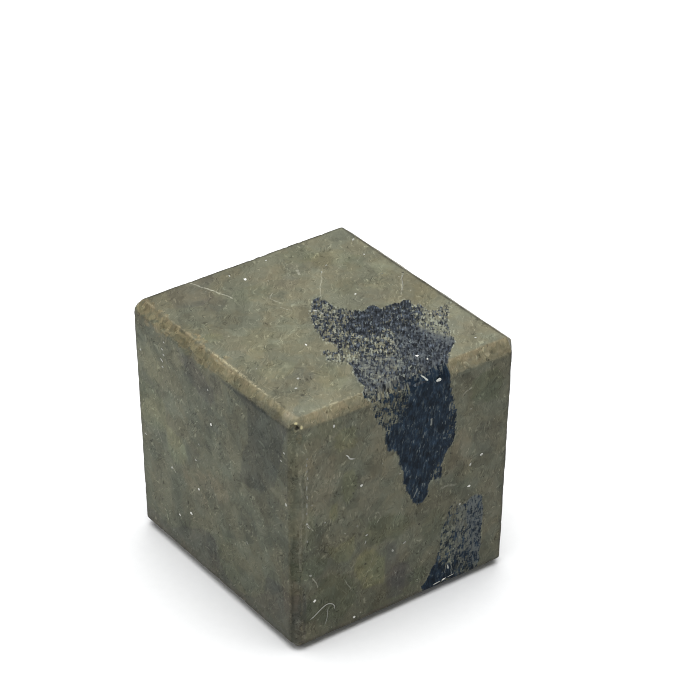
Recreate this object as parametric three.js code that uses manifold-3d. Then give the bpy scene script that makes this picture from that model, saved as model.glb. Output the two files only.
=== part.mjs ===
// Pyrite specimen: one small cube ground by hand from massive pyrite, with bevelled edges.
// Millimetres, +Z up. The origin is the middle of its footprint, on the ground it rests on.
// west is -X, east is +X, south is -Y and north is +Y.
import * as THREE from 'three';
import { mergeVertices } from 'three/addons/utils/BufferGeometryUtils.js';
import Module from 'manifold-3d';

// Size of the ground block, taken at half its height and before its edges are bevelled.
const WIDTH = 29.25;
const DEPTH = 30.75;
const HEIGHT = 30;

// The four upright faces are nearly square to the base. In degrees, lean tips a face's top
// outwards, and swing turns the face about the vertical.
const UPRIGHT = {
  west: { out: [-1, 0, 0], along: [0, 1, 0], lean: 0.8, swing: -0.2 },
  east: { out: [1, 0, 0], along: [0, 1, 0], lean: 0.4, swing: 0.2 },
  south: { out: [0, -1, 0], along: [1, 0, 0], lean: 0.6, swing: -0.7 },
  north: { out: [0, 1, 0], along: [1, 0, 0], lean: 0.6, swing: -0.4 },
};

// Width of the bevel on a face, measured from the sharp edge that it removed. 'top/west' is
// the bevel's share of the top along the top and west edge. The two numbers are for the
// edge's two ends: the one nearer -X, -Y or the ground first.
const BEVEL = 1.0;
const BEVELS = {
  'top/west': [1.15, 1.25],
  'west/top': [0.95, 0.9],
  'top/south': [1.0, 0.95],
  'south/top': [1.05, 1.6],
  'top/north': [0.9, 0.9],
  'top/east': [1.2, 1.2],
  'west/south': [0.9, 0.9],
  'south/west': [0.9, 0.9],
  'west/north': [0.9, 0.9],
  'east/south': [1.4, 1.4],
  'west/base': [1.2, 1.2],
  'base/south': [1.05, 1.05],
};

// The bevels' outlines wander by this much, because they were ground by hand. Each wave has
// its turn per millimetre and its share of the wander.
const WANDER = 0.09;
const WANDER_WAVES = [
  { turn: 0.42, share: 0.6 },
  { turn: 1.15, share: 0.4 },
];
const WAVE_COURSE = [1, 1.3, 1.7];

// Grid of the surface: cells along one edge of the block, and cells from a bevel's outline
// to its middle.
const CELLS = 20;
const BEVEL_CELLS = 2;

// Chips broken out of the bevels. along is the distance from the edge's low end, across runs
// from -1 on the first face's side of the bevel to 1 on the second's. Each chip is a dent of
// a given radius and depth, drawn out along the edge by stretch.
const CHIPS = [
  { edge: 'south/west', along: 29.4, across: -0.2, radius: 0.5, depth: 0.42, stretch: 1 },
  { edge: 'south/west', along: 28.0, across: -0.6, radius: 0.75, depth: 0.2, stretch: 1.3 },
  { edge: 'top/west', along: 14.6, across: -0.6, radius: 0.6, depth: 0.14, stretch: 2.2 },
  { edge: 'top/west', along: 16.2, across: 0.8, radius: 0.8, depth: 0.26, stretch: 1.4 },
  { edge: 'top/west', along: 19.4, across: 0.9, radius: 0.95, depth: 0.24, stretch: 1.5 },
  { edge: 'top/west', along: 21.6, across: -0.5, radius: 0.7, depth: 0.2, stretch: 1.2 },
  { edge: 'top/west', along: 24.4, across: 0.8, radius: 1.0, depth: 0.22, stretch: 1.6 },
  { edge: 'top/west', along: 27.3, across: -0.3, radius: 0.8, depth: 0.18, stretch: 1.4 },
  { edge: 'south/top', along: 18.4, across: -0.9, radius: 0.5, depth: 0.2, stretch: 1.2 },
  { edge: 'south/top', along: 23.9, across: -0.9, radius: 0.6, depth: 0.16, stretch: 1.5 },
  { edge: 'south/top', along: 27.2, across: -0.8, radius: 0.7, depth: 0.2, stretch: 1.2 },
  { edge: 'south/base', along: 20.1, across: -0.7, radius: 0.7, depth: 0.26, stretch: 2.6 },
  { edge: 'west/base', along: 10.4, across: -0.5, radius: 0.7, depth: 0.45, stretch: 1.1 },
  { edge: 'south/base', along: 0.9, across: -0.8, radius: 0.6, depth: 0.2, stretch: 1 },
  { edge: 'top/north', along: 8.7, across: 0.4, radius: 0.8, depth: 0.28, stretch: 1.6 },
  { edge: 'east/north', along: 19.2, across: 0.2, radius: 0.9, depth: 0.3, stretch: 1.5 },
  { edge: 'east/base', along: 12.6, across: -0.4, radius: 0.8, depth: 0.3, stretch: 1.8 },
  { edge: 'north/base', along: 21.8, across: -0.3, radius: 1.0, depth: 0.36, stretch: 1.5 },
  { edge: 'top/east', along: 25.3, across: 0.5, radius: 0.7, depth: 0.22, stretch: 1.4 },
];

// Small nicks spread along every bevelled edge. Their draws are turns of the golden ratio,
// which spread out evenly.
const NICKS_PER_EDGE = 3;
const NICK_MARGIN = 2;
const NICK_RADIUS = [0.35, 0.6];
const NICK_DEPTH = [0.08, 0.16];
const GOLDEN_TURN = 0.618034;
const DRAW_TURNS = [1, 3, 5, 7, 11];
const EDGES = [
  'top/west', 'south/top', 'top/north', 'top/east',
  'south/west', 'west/north', 'east/south', 'east/north',
  'west/base', 'south/base', 'east/base', 'north/base',
];

// How uneven a broken surface is, as a share of the chip's radius, and how closely its
// waves follow each other.
const FRACTURE = 0.16;
const FRACTURE_TURNS = [4.1, 5.7, 3.3];

// Points of the surface closer than this are one point.
const SAME_POINT = 1e-5;

const AXES = [['west', 'east'], ['south', 'north'], ['base', 'top']];
const SIZES = [WIDTH, DEPTH, HEIGHT];

const wasm = await Module();
wasm.setup();

function vector(values) {
  return new THREE.Vector3(...values);
}

function uprightPlane(face) {
  const { out, along, lean, swing } = UPRIGHT[face];
  const normal = vector(out);
  normal.addScaledVector(vector(along), Math.tan(THREE.MathUtils.degToRad(swing)));
  normal.z -= Math.tan(THREE.MathUtils.degToRad(lean));
  const middle = vector([out[0] * WIDTH / 2, out[1] * DEPTH / 2, HEIGHT / 2]);
  return new THREE.Plane().setFromNormalAndCoplanarPoint(normal.normalize(), middle);
}

const PLANES = {
  top: new THREE.Plane(vector([0, 0, 1]), -HEIGHT),
  base: new THREE.Plane(vector([0, 0, -1]), 0),
  west: uprightPlane('west'),
  east: uprightPlane('east'),
  south: uprightPlane('south'),
  north: uprightPlane('north'),
};

function movedIn(plane, distance) {
  return new THREE.Plane(plane.normal, plane.constant + distance);
}

// The point where three planes meet.
function meet(a, b, c) {
  const crossed = [
    b.normal.clone().cross(c.normal).multiplyScalar(-a.constant),
    c.normal.clone().cross(a.normal).multiplyScalar(-b.constant),
    a.normal.clone().cross(b.normal).multiplyScalar(-c.constant),
  ];
  const point = crossed[0].add(crossed[1]).add(crossed[2]);
  return point.divideScalar(a.normal.dot(b.normal.clone().cross(c.normal)));
}

function bevelWidth(face, neighbour, end) {
  const widths = BEVELS[`${face}/${neighbour}`];
  return widths ? widths[end] : BEVEL;
}

function axisOf(face) {
  return AXES.findIndex((pair) => pair.includes(face));
}

function otherAxes(face) {
  return [0, 1, 2].filter((axis) => axis !== axisOf(face));
}

// The four corners of the flat part of a face, inside its bevels.
function flatCorners(face) {
  const [axisA, axisB] = otherAxes(face);
  return [0, 1].map((endA) => [0, 1].map((endB) => {
    const neighbourA = AXES[axisA][endA];
    const neighbourB = AXES[axisB][endB];
    return meet(
      PLANES[face],
      movedIn(PLANES[neighbourA], bevelWidth(face, neighbourA, endB)),
      movedIn(PLANES[neighbourB], bevelWidth(face, neighbourB, endA)),
    );
  }));
}

const FLATS = Object.fromEntries(Object.keys(PLANES).map((face) => [face, flatCorners(face)]));

function wander(point, phase) {
  const place = point.dot(vector(WAVE_COURSE));
  const waves = WANDER_WAVES.map(({ turn, share }) => share * Math.sin(turn * place + phase));
  return WANDER * (waves[0] + waves[1]);
}

// A point of a face's flat part. Its outline wanders, but stays in the face's plane.
function flatPoint(face, partA, partB) {
  const [[lowLow, lowHigh], [highLow, highHigh]] = FLATS[face];
  const low = lowLow.clone().lerp(lowHigh, partB);
  const high = highLow.clone().lerp(highHigh, partB);
  const point = low.lerp(high, partA);
  const onOutline = [partA, partB].some((part) => part <= 0 || part >= 1);
  if (!onOutline) {
    return point;
  }
  const shift = vector([0, 1, 2].map((phase) => wander(point, phase)));
  return point.add(shift.projectOnPlane(PLANES[face].normal));
}

function partAlong(index) {
  const part = (index - BEVEL_CELLS) / (CELLS - 2 * BEVEL_CELLS);
  return THREE.MathUtils.clamp(part, 0, 1);
}

// A point of the block's surface, from its place in the grid. Each face near it has a say:
// all on the face's flat part, half in the middle of a bevel, a third in a corner.
function surfacePoint(place) {
  const sum = new THREE.Vector3();
  let total = 0;
  AXES.forEach((pair, axis) => pair.forEach((face, end) => {
    const cellsIn = end === 0 ? place[axis] : CELLS - place[axis];
    const say = (BEVEL_CELLS - cellsIn) / (BEVEL_CELLS + cellsIn);
    if (say > 0) {
      const [partA, partB] = otherAxes(face).map((other) => partAlong(place[other]));
      sum.addScaledVector(flatPoint(face, partA, partB), say);
      total += say;
    }
  }));
  return sum.divideScalar(total);
}

function toSolid(geometry) {
  geometry.deleteAttribute('normal');
  geometry.deleteAttribute('uv');
  const merged = mergeVertices(geometry, SAME_POINT);
  return new wasm.Manifold(new wasm.Mesh({
    numProp: 3,
    vertProperties: new Float32Array(merged.attributes.position.array),
    triVerts: new Uint32Array(merged.index.array),
  }));
}

function toGeometry(solid) {
  const { vertProperties, triVerts } = solid.getMesh();
  const geometry = new THREE.BufferGeometry();
  geometry.setAttribute('position', new THREE.BufferAttribute(vertProperties, 3));
  geometry.setIndex(new THREE.BufferAttribute(triVerts, 1));
  return geometry;
}

function groundBlock() {
  const geometry = new THREE.BoxGeometry(CELLS, CELLS, CELLS, CELLS, CELLS, CELLS);
  const position = geometry.attributes.position;
  const corner = new THREE.Vector3();
  for (let i = 0; i < position.count; i += 1) {
    corner.fromBufferAttribute(position, i);
    const place = corner.toArray().map((value) => Math.round(value + CELLS / 2));
    position.setXYZ(i, ...surfacePoint(place).toArray());
  }
  return toSolid(geometry);
}

// The grid's place at a distance from the low end of an edge.
function cellsAlong(distance, length) {
  const fromEnd = Math.min(distance, length - distance);
  const flatCells = (CELLS - 2 * BEVEL_CELLS) / (length - 2 * BEVEL);
  const cells = fromEnd < BEVEL
    ? BEVEL_CELLS * fromEnd / BEVEL
    : BEVEL_CELLS + (fromEnd - BEVEL) * flatCells;
  return distance < length / 2 ? cells : CELLS - cells;
}

// Where a chip sits: its point on the bevel and the way out of the stone there.
function bevelSpot({ edge, along, across }) {
  const [first, second] = edge.split('/');
  const runs = [0, 1, 2].find((axis) => axis !== axisOf(first) && axis !== axisOf(second));
  const place = [0, 0, 0];
  place[runs] = cellsAlong(along, SIZES[runs]);
  [[first, across], [second, -across]].forEach(([face, away]) => {
    const axis = axisOf(face);
    const cellsIn = BEVEL_CELLS * Math.max(0, away);
    place[axis] = AXES[axis].indexOf(face) === 0 ? cellsIn : CELLS - cellsIn;
  });
  const out = PLANES[first].normal.clone().multiplyScalar(1 - across / 2);
  out.addScaledVector(PLANES[second].normal, 1 + across / 2);
  return { point: surfacePoint(place), out: out.normalize(), runs };
}

// How far a broken surface swells at a point, as a share of the chip's radius.
function fracture(point) {
  const waves = point.toArray().map((value, axis) => Math.sin(FRACTURE_TURNS[axis] * value));
  return 1 + FRACTURE * (waves[0] + waves[1] * waves[2]);
}

// The rough lump whose removal leaves a chip.
function chipSolid(chip) {
  const { point, out, runs } = bevelSpot(chip);
  const geometry = new THREE.IcosahedronGeometry(1, 1);
  const position = geometry.attributes.position;
  const reach = [1, 1, 1];
  reach[runs] = chip.stretch;
  const centre = point.clone().addScaledVector(out, chip.radius - chip.depth);
  const corner = new THREE.Vector3();
  for (let i = 0; i < position.count; i += 1) {
    corner.fromBufferAttribute(position, i);
    const swell = fracture(corner.clone().addScaledVector(point, 1 / chip.radius));
    corner.multiply(vector(reach)).multiplyScalar(chip.radius * swell).add(centre);
    position.setXYZ(i, corner.x, corner.y, corner.z);
  }
  return toSolid(geometry);
}

function between([low, high], part) {
  return low + (high - low) * part;
}

function wrapped(value) {
  return value - Math.floor(value);
}

function edgeNicks(edge, edgeNumber) {
  return Array.from({ length: NICKS_PER_EDGE }, (_, nick) => {
    const step = GOLDEN_TURN * (1 + edgeNumber * NICKS_PER_EDGE + nick);
    const draws = DRAW_TURNS.map((turn) => wrapped(turn * step));
    return {
      edge,
      along: between([NICK_MARGIN, HEIGHT - NICK_MARGIN], (nick + draws[3]) / NICKS_PER_EDGE),
      across: between([-1, 1], draws[1]),
      radius: between(NICK_RADIUS, draws[0]),
      depth: between(NICK_DEPTH, draws[2]),
      stretch: 1 + draws[4],
    };
  });
}

function chippedBlock() {
  const chips = [...CHIPS, ...EDGES.flatMap(edgeNicks)];
  return chips.reduce((solid, chip) => solid.subtract(chipSolid(chip)), groundBlock());
}

// Moves the stone so that its footprint's middle is at the origin.
function centred(geometry) {
  geometry.computeBoundingBox();
  const middle = geometry.boundingBox.getCenter(new THREE.Vector3());
  return geometry.translate(-middle.x, -middle.y, -geometry.boundingBox.min.z);
}

const pyrite = new THREE.MeshStandardMaterial({
  color: 0x7a7660,
  roughness: 0.5,
  metalness: 0.6,
});

const stone = new THREE.Mesh(centred(toGeometry(chippedBlock())), pyrite);
stone.name = 'pyrite_cube';

const specimen = new THREE.Group();
specimen.add(stone);

export default specimen;
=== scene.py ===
"""Pyrite specimen: a small hand-ground pyrite cube on a pale table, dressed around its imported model.

Lengths in the tables are millimetres in the block's frame: x and y run from the front corner along the
two level edges, z up from the ground. west is -X, east is +X, south is -Y and north is +Y.
"""

import functools
import math

import bpy
import numpy as np
from mathutils import Matrix, Vector, noise


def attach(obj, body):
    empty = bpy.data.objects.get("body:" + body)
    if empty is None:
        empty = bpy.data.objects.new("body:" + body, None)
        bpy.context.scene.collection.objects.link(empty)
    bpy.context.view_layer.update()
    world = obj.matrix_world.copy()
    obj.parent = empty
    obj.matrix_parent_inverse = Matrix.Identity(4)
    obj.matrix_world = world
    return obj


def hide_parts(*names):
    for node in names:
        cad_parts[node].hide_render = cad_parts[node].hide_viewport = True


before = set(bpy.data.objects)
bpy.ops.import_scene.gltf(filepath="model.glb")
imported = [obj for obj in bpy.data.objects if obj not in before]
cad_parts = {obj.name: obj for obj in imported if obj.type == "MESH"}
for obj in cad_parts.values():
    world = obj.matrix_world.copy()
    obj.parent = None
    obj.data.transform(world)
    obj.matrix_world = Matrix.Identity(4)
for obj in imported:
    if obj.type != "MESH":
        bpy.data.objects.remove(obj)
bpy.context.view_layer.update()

MM = 0.001
NODE = "pyrite_cube"

# The block, with the same named values as its solid.

WIDTH, DEPTH, HEIGHT = 29.25, 30.75, 30.0
SIZES = np.array([WIDTH, DEPTH, HEIGHT])
FACES = ("west", "east", "south", "north", "base", "top")
LEANS = {"west": (0.8, -0.2), "east": (0.4, 0.2), "south": (0.6, -0.7), "north": (0.6, -0.4)}
OUTS = {
    "west": (-1, 0, 0),
    "east": (1, 0, 0),
    "south": (0, -1, 0),
    "north": (0, 1, 0),
    "base": (0, 0, -1),
    "top": (0, 0, 1),
}
ALONG = {"west": (0, 1, 0), "east": (0, 1, 0), "south": (1, 0, 0), "north": (1, 0, 0)}
BEVEL = 1.0
BEVELS = {
    "top/west": (1.15, 1.25),
    "west/top": (0.95, 0.9),
    "top/south": (1.0, 0.95),
    "south/top": (1.05, 1.6),
    "top/north": (0.9, 0.9),
    "top/east": (1.2, 1.2),
    "west/south": (0.9, 0.9),
    "south/west": (0.9, 0.9),
    "west/north": (0.9, 0.9),
    "east/south": (1.4, 1.4),
    "west/base": (1.2, 1.2),
    "base/south": (1.05, 1.05),
}
WANDER = 0.04
WANDER_WAVES = ((0.42, 0.6), (1.15, 0.4))
WAVE_COURSE = np.array([1, 1.3, 1.7])
SOLID_CELLS, SOLID_BEVEL_CELLS = 20, 2
# The footprint's middle in the block's own centred frame, which the solid moves to the origin.
FOOTPRINT_MIDDLE = np.array([-0.0498, -0.0331, 0.0])

# edge, along, across, radius, depth, stretch
CHIPS = (
    ("south/west", 29.4, -0.2, 0.5, 0.42, 1),
    ("south/west", 28.0, -0.6, 0.75, 0.2, 1.3),
    ("top/west", 14.6, -0.6, 0.6, 0.14, 2.2),
    ("top/west", 16.2, 0.8, 0.8, 0.26, 1.4),
    ("top/west", 19.4, 0.9, 0.95, 0.24, 1.5),
    ("top/west", 21.6, -0.5, 0.7, 0.2, 1.2),
    ("top/west", 24.4, 0.8, 1.0, 0.22, 1.6),
    ("top/west", 27.3, -0.3, 0.8, 0.18, 1.4),
    ("south/top", 18.4, -0.9, 0.5, 0.2, 1.2),
    ("south/top", 23.9, -0.9, 0.6, 0.16, 1.5),
    ("south/top", 27.2, -0.8, 0.7, 0.2, 1.2),
    ("south/base", 20.1, -0.7, 0.7, 0.26, 2.6),
    ("west/base", 10.4, -0.5, 0.7, 0.45, 1.1),
    ("south/base", 0.9, -0.8, 0.6, 0.2, 1),
    ("top/north", 8.7, 0.4, 0.8, 0.28, 1.6),
    ("east/north", 19.2, 0.2, 0.9, 0.3, 1.5),
    ("east/base", 12.6, -0.4, 0.8, 0.3, 1.8),
    ("north/base", 21.8, -0.3, 1.0, 0.36, 1.5),
    ("top/east", 25.3, 0.5, 0.7, 0.22, 1.4),
)
NICKS_PER_EDGE = 3
NICK_MARGIN = 2
NICK_RADIUS = (0.35, 0.6)
NICK_DEPTH = (0.08, 0.16)
GOLDEN_TURN = 0.618034
DRAW_TURNS = (1, 3, 5, 7, 11)
EDGES = (
    "top/west",
    "south/top",
    "top/north",
    "top/east",
    "south/west",
    "west/north",
    "east/south",
    "east/north",
    "west/base",
    "south/base",
    "east/base",
    "north/base",
)
FRACTURE = 0.16
FRACTURE_TURNS = np.array([4.1, 5.7, 3.3])

# The fine surface.

CELLS, BEVEL_CELLS = 128, 7
CROWDING = 0.34  # how much closer the grid stands near the bevels than in a face's middle
FADE = 1 / 16  # share of a flat over which its outline's wander dies away
ROUNDING_PASSES = 2
ROUNDING_REACH = 2.2  # cells
GRIND = 0.05  # unevenness of the ground bevels
SMALL_NICKS = 26  # on each side of each bevel
SMALL_NICK_RADIUS = (0.12, 0.34)
SMALL_NICK_DEPTH = (0.03, 0.1)


def unit(v):
    return v / np.linalg.norm(v, axis=-1, keepdims=True)


def plane(face):
    """The face's plane as its normal and a point on it, in the block's centred frame."""
    out = np.array(OUTS[face], float)
    if face in LEANS:
        lean, swing = (math.tan(math.radians(a)) for a in LEANS[face])
        normal = out + np.array(ALONG[face]) * swing - np.array([0, 0, lean])
        middle = out * SIZES / 2 + np.array([0, 0, HEIGHT / 2])
        return unit(normal), middle
    return out, np.array([0, 0, HEIGHT if face == "top" else 0.0])


PLANES = {f: plane(f) for f in FACES}


def meet(*cuts):
    """The point where three planes meet, each moved in by a distance."""
    normals = np.array([PLANES[f][0] for f, _ in cuts])
    offsets = [PLANES[f][0] @ PLANES[f][1] - inward for f, inward in cuts]
    return np.linalg.solve(normals, offsets)


def axis_of(face):
    return FACES.index(face) // 2


def other_axes(face):
    return [a for a in range(3) if a != axis_of(face)]


def bevel_width(face, neighbour, end):
    return BEVELS.get(f"{face}/{neighbour}", (BEVEL, BEVEL))[end]


def flat_corners(face):
    a, b = other_axes(face)
    corners = np.zeros((2, 2, 3))
    for end_a in (0, 1):
        for end_b in (0, 1):
            na, nb = FACES[2 * a + end_a], FACES[2 * b + end_b]
            corners[end_a, end_b] = meet(
                (face, 0.0),
                (na, bevel_width(face, na, end_b)),
                (nb, bevel_width(face, nb, end_a)),
            )
    return corners


FLATS = {f: flat_corners(f) for f in FACES}


def wander(points):
    place = points @ WAVE_COURSE
    waves = [sum(s * np.sin(t * place + phase) for t, s in WANDER_WAVES) for phase in range(3)]
    return WANDER * np.stack(waves, axis=-1)


def flat_points(face, part_a, part_b):
    """Points of a face's flat part. Its outline wanders, but stays in the face's plane."""
    corners = FLATS[face]
    a, b = part_a[:, None], part_b[:, None]
    low = corners[0, 0] * (1 - b) + corners[0, 1] * b
    high = corners[1, 0] * (1 - b) + corners[1, 1] * b
    points = low * (1 - a) + high * a
    rim = np.minimum.reduce([part_a, 1 - part_a, part_b, 1 - part_b])
    shift = wander(points) * np.clip(1 - rim / FADE, 0, 1)[:, None]
    normal = PLANES[face][0]
    return points + shift - np.outer(shift @ normal, normal)


def part_along(index, cells, bevel_cells, crowding):
    part = np.clip((index - bevel_cells) / (cells - 2 * bevel_cells), 0, 1)
    return part - crowding * np.sin(2 * math.pi * part) / (2 * math.pi)


def surface_points(places, cells, bevel_cells, crowding=0.0):
    """Points of the block's surface and the ways out of the stone there, from places in the grid."""
    total = np.zeros(len(places))
    points = np.zeros((len(places), 3))
    outward = np.zeros((len(places), 3))
    for number, face in enumerate(FACES):
        axis, end = divmod(number, 2)
        cells_in = cells - places[:, axis] if end else places[:, axis]
        say = np.clip((bevel_cells - cells_in) / (bevel_cells + cells_in), 0, None)
        parts = [part_along(places[:, o], cells, bevel_cells, crowding) for o in other_axes(face)]
        points += flat_points(face, *parts) * say[:, None]
        outward += np.outer(say, PLANES[face][0])
        total += say
    return points / total[:, None], unit(outward)


def cells_along(distance, length):
    from_end = min(distance, length - distance)
    flat_cells = (SOLID_CELLS - 2 * SOLID_BEVEL_CELLS) / (length - 2 * BEVEL)
    if from_end < BEVEL:
        cells = SOLID_BEVEL_CELLS * from_end / BEVEL
    else:
        cells = SOLID_BEVEL_CELLS + (from_end - BEVEL) * flat_cells
    return cells if distance < length / 2 else SOLID_CELLS - cells


def bevel_spot(edge, along, across):
    """A point on a bevel, the way out of the stone there, and the axis that the edge runs along."""
    first, second = edge.split("/")
    runs = 3 - axis_of(first) - axis_of(second)
    place = np.zeros(3)
    place[runs] = cells_along(along, SIZES[runs])
    for face, away in ((first, across), (second, -across)):
        number = FACES.index(face)
        cells_in = SOLID_BEVEL_CELLS * max(0.0, away)
        place[number // 2] = SOLID_CELLS - cells_in if number % 2 else cells_in
    out = PLANES[first][0] * (1 - across / 2) + PLANES[second][0] * (1 + across / 2)
    point = surface_points(place[None], SOLID_CELLS, SOLID_BEVEL_CELLS)[0][0]
    return point, unit(out), runs


def edge_nicks():
    for number, edge in enumerate(EDGES):
        for nick in range(NICKS_PER_EDGE):
            step = GOLDEN_TURN * (1 + number * NICKS_PER_EDGE + nick)
            draws = [t * step % 1 for t in DRAW_TURNS]
            share = (nick + draws[3]) / NICKS_PER_EDGE
            yield (
                edge,
                NICK_MARGIN + (HEIGHT - 2 * NICK_MARGIN) * share,
                2 * draws[1] - 1,
                NICK_RADIUS[0] + (NICK_RADIUS[1] - NICK_RADIUS[0]) * draws[0],
                NICK_DEPTH[0] + (NICK_DEPTH[1] - NICK_DEPTH[0]) * draws[2],
                1 + draws[4],
            )


def small_nicks(rng):
    """Many small dents along both outlines of every bevel."""
    for edge in EDGES:
        for side in (-1, 1):
            for _ in range(SMALL_NICKS):
                draws = rng.random(5)
                span = SMALL_NICK_RADIUS[1] - SMALL_NICK_RADIUS[0]
                radius = SMALL_NICK_RADIUS[0] + span * draws[2] ** 2
                depth = SMALL_NICK_DEPTH[0] + (SMALL_NICK_DEPTH[1] - SMALL_NICK_DEPTH[0]) * draws[3]
                yield (
                    edge,
                    1 + (HEIGHT - 2) * draws[0],
                    side * (1 - 0.25 * draws[1]),
                    radius,
                    min(depth, radius * 0.6),
                    1 + 1.5 * draws[4],
                )


def fracture(places):
    waves = np.sin(places * FRACTURE_TURNS)
    return 1 + FRACTURE * (waves[..., 0] + waves[..., 1] * waves[..., 2])


def cut(points, broken, chip):
    """Moves the points that lie inside a chip's lump onto its far side."""
    edge, along, across, radius, depth, stretch = chip
    point, out, runs = bevel_spot(edge, along, across)
    reach = np.ones(3)
    reach[runs] = stretch
    centre = point + out * (radius - depth)

    def inside(p):
        q = (p - centre) / reach
        far = np.linalg.norm(q, axis=1) + 1e-9
        return radius * fracture(q / far[:, None] + point / radius) - far

    near = np.nonzero(np.abs(points - centre).max(axis=1) < radius * stretch * 1.4)[0]
    near = near[inside(points[near]) > 0]
    start = points[near]
    low, high = np.zeros(len(near)), np.full(len(near), 3 * radius)
    for _ in range(22):
        middle = (low + high) / 2
        within = inside(start - middle[:, None] * out) > 0
        low, high = np.where(within, middle, low), np.where(within, high, middle)
    points[near] = start - low[:, None] * out
    broken[near] = np.maximum(broken[near], low)


def lattice(cells):
    """The grid's places on a cube's surface, and its squares with their corners turned outwards."""
    numbers = -np.ones((cells + 1,) * 3, int)
    grid = np.stack(np.meshgrid(*[np.arange(cells + 1)] * 3, indexing="ij"), axis=-1)
    rim = ((grid == 0) | (grid == cells)).any(axis=-1)
    numbers[rim] = np.arange(rim.sum())
    quads = []
    for axis in range(3):
        for end in (0, 1):
            layer = np.take(numbers, cells if end else 0, axis=axis)
            square = [layer[:-1, :-1], layer[1:, :-1], layer[1:, 1:], layer[:-1, 1:]]
            if (axis == 1) == bool(end):
                square.reverse()
            quads.append(np.stack([s.ravel() for s in square], axis=-1))
    return grid[rim], np.concatenate(quads)


def neighbour_mean(points, edges, count):
    total = np.zeros_like(points)
    np.add.at(total, edges[:, 0], points[edges[:, 1]])
    np.add.at(total, edges[:, 1], points[edges[:, 0]])
    return total / count[:, None]


def smoothstep(low, high, value):
    t = np.clip((value - low) / (high - low), 0, 1)
    return t * t * (3 - 2 * t)


def noise_at(points, scale, seed=0.0):
    shift = Vector((seed, seed * 1.7, seed * 0.3))
    return np.array([noise.noise(Vector(p) * scale + shift) for p in points])


places, quads = lattice(CELLS)
points, outward = surface_points(places, CELLS, BEVEL_CELLS, CROWDING)
edges = np.concatenate([quads[:, [k, (k + 1) % 4]] for k in range(4)])
edges = np.unique(np.sort(edges, axis=1), axis=0)
valence = np.bincount(edges.ravel(), minlength=len(points)).astype(float)

# Cells from each of the three nearest faces: the second tells how far a point is from a bevel's outline.
cells_in = np.sort(np.concatenate([places, CELLS - places], axis=1), axis=1)
from_outline = cells_in[:, 1] - BEVEL_CELLS
on_bevel = smoothstep(0.2, -1.2, from_outline)

# The arrises are slightly rounded.
soft = np.clip(1 - np.abs(from_outline) / ROUNDING_REACH, 0, 1)[:, None]
soft = np.maximum(soft, np.clip(1 - np.abs(cells_in[:, 2:3] - BEVEL_CELLS) / ROUNDING_REACH, 0, 1))
soft = soft * (from_outline < ROUNDING_REACH)[:, None]
for _ in range(ROUNDING_PASSES):
    points = points + soft * (neighbour_mean(points, edges, valence) - points)

# The bevels were ground by hand and are a little uneven.
bevel_rows = np.nonzero(from_outline < 0)[0]
uneven = 0.6 * noise_at(points[bevel_rows], 0.7) + 0.4 * noise_at(points[bevel_rows], 2.3, 5.0)
depth = np.clip(uneven + 0.1, 0, 1) * GRIND * 2 * smoothstep(0, -3, from_outline[bevel_rows])
points[bevel_rows] -= outward[bevel_rows] * depth[:, None]

rng = np.random.default_rng(41)
broken = np.zeros(len(points))
for chip in (*CHIPS, *edge_nicks(), *small_nicks(rng)):
    cut(points, broken, chip)
rough = np.clip(broken / 0.08, 0, 1)[:, None]
points = points + 0.35 * rough * (neighbour_mean(points, edges, valence) - points)

points = points - FOOTPRINT_MIDDLE
# The same points in the block's frame, in which the tables below are written.
block = points + FOOTPRINT_MIDDLE + np.array([WIDTH / 2, DEPTH / 2, 0])

# Tones of the stone, and painted shading over its sides.

# Each tone multiplies the stone's own colour.
TONES = {
    "olive": (1.15, 1.15, 0.92),
    "pale": (1.28, 1.30, 1.18),
    "rose": (1.22, 1.12, 1.10),
    "slate": (0.66, 0.68, 0.74),
    "mauve": (0.76, 0.74, 0.84),
    "moss": (0.74, 0.81, 0.72),
    "film": (1.12, 1.14, 1.28),
    "brass": (1.28, 1.18, 0.95),
}
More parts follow.
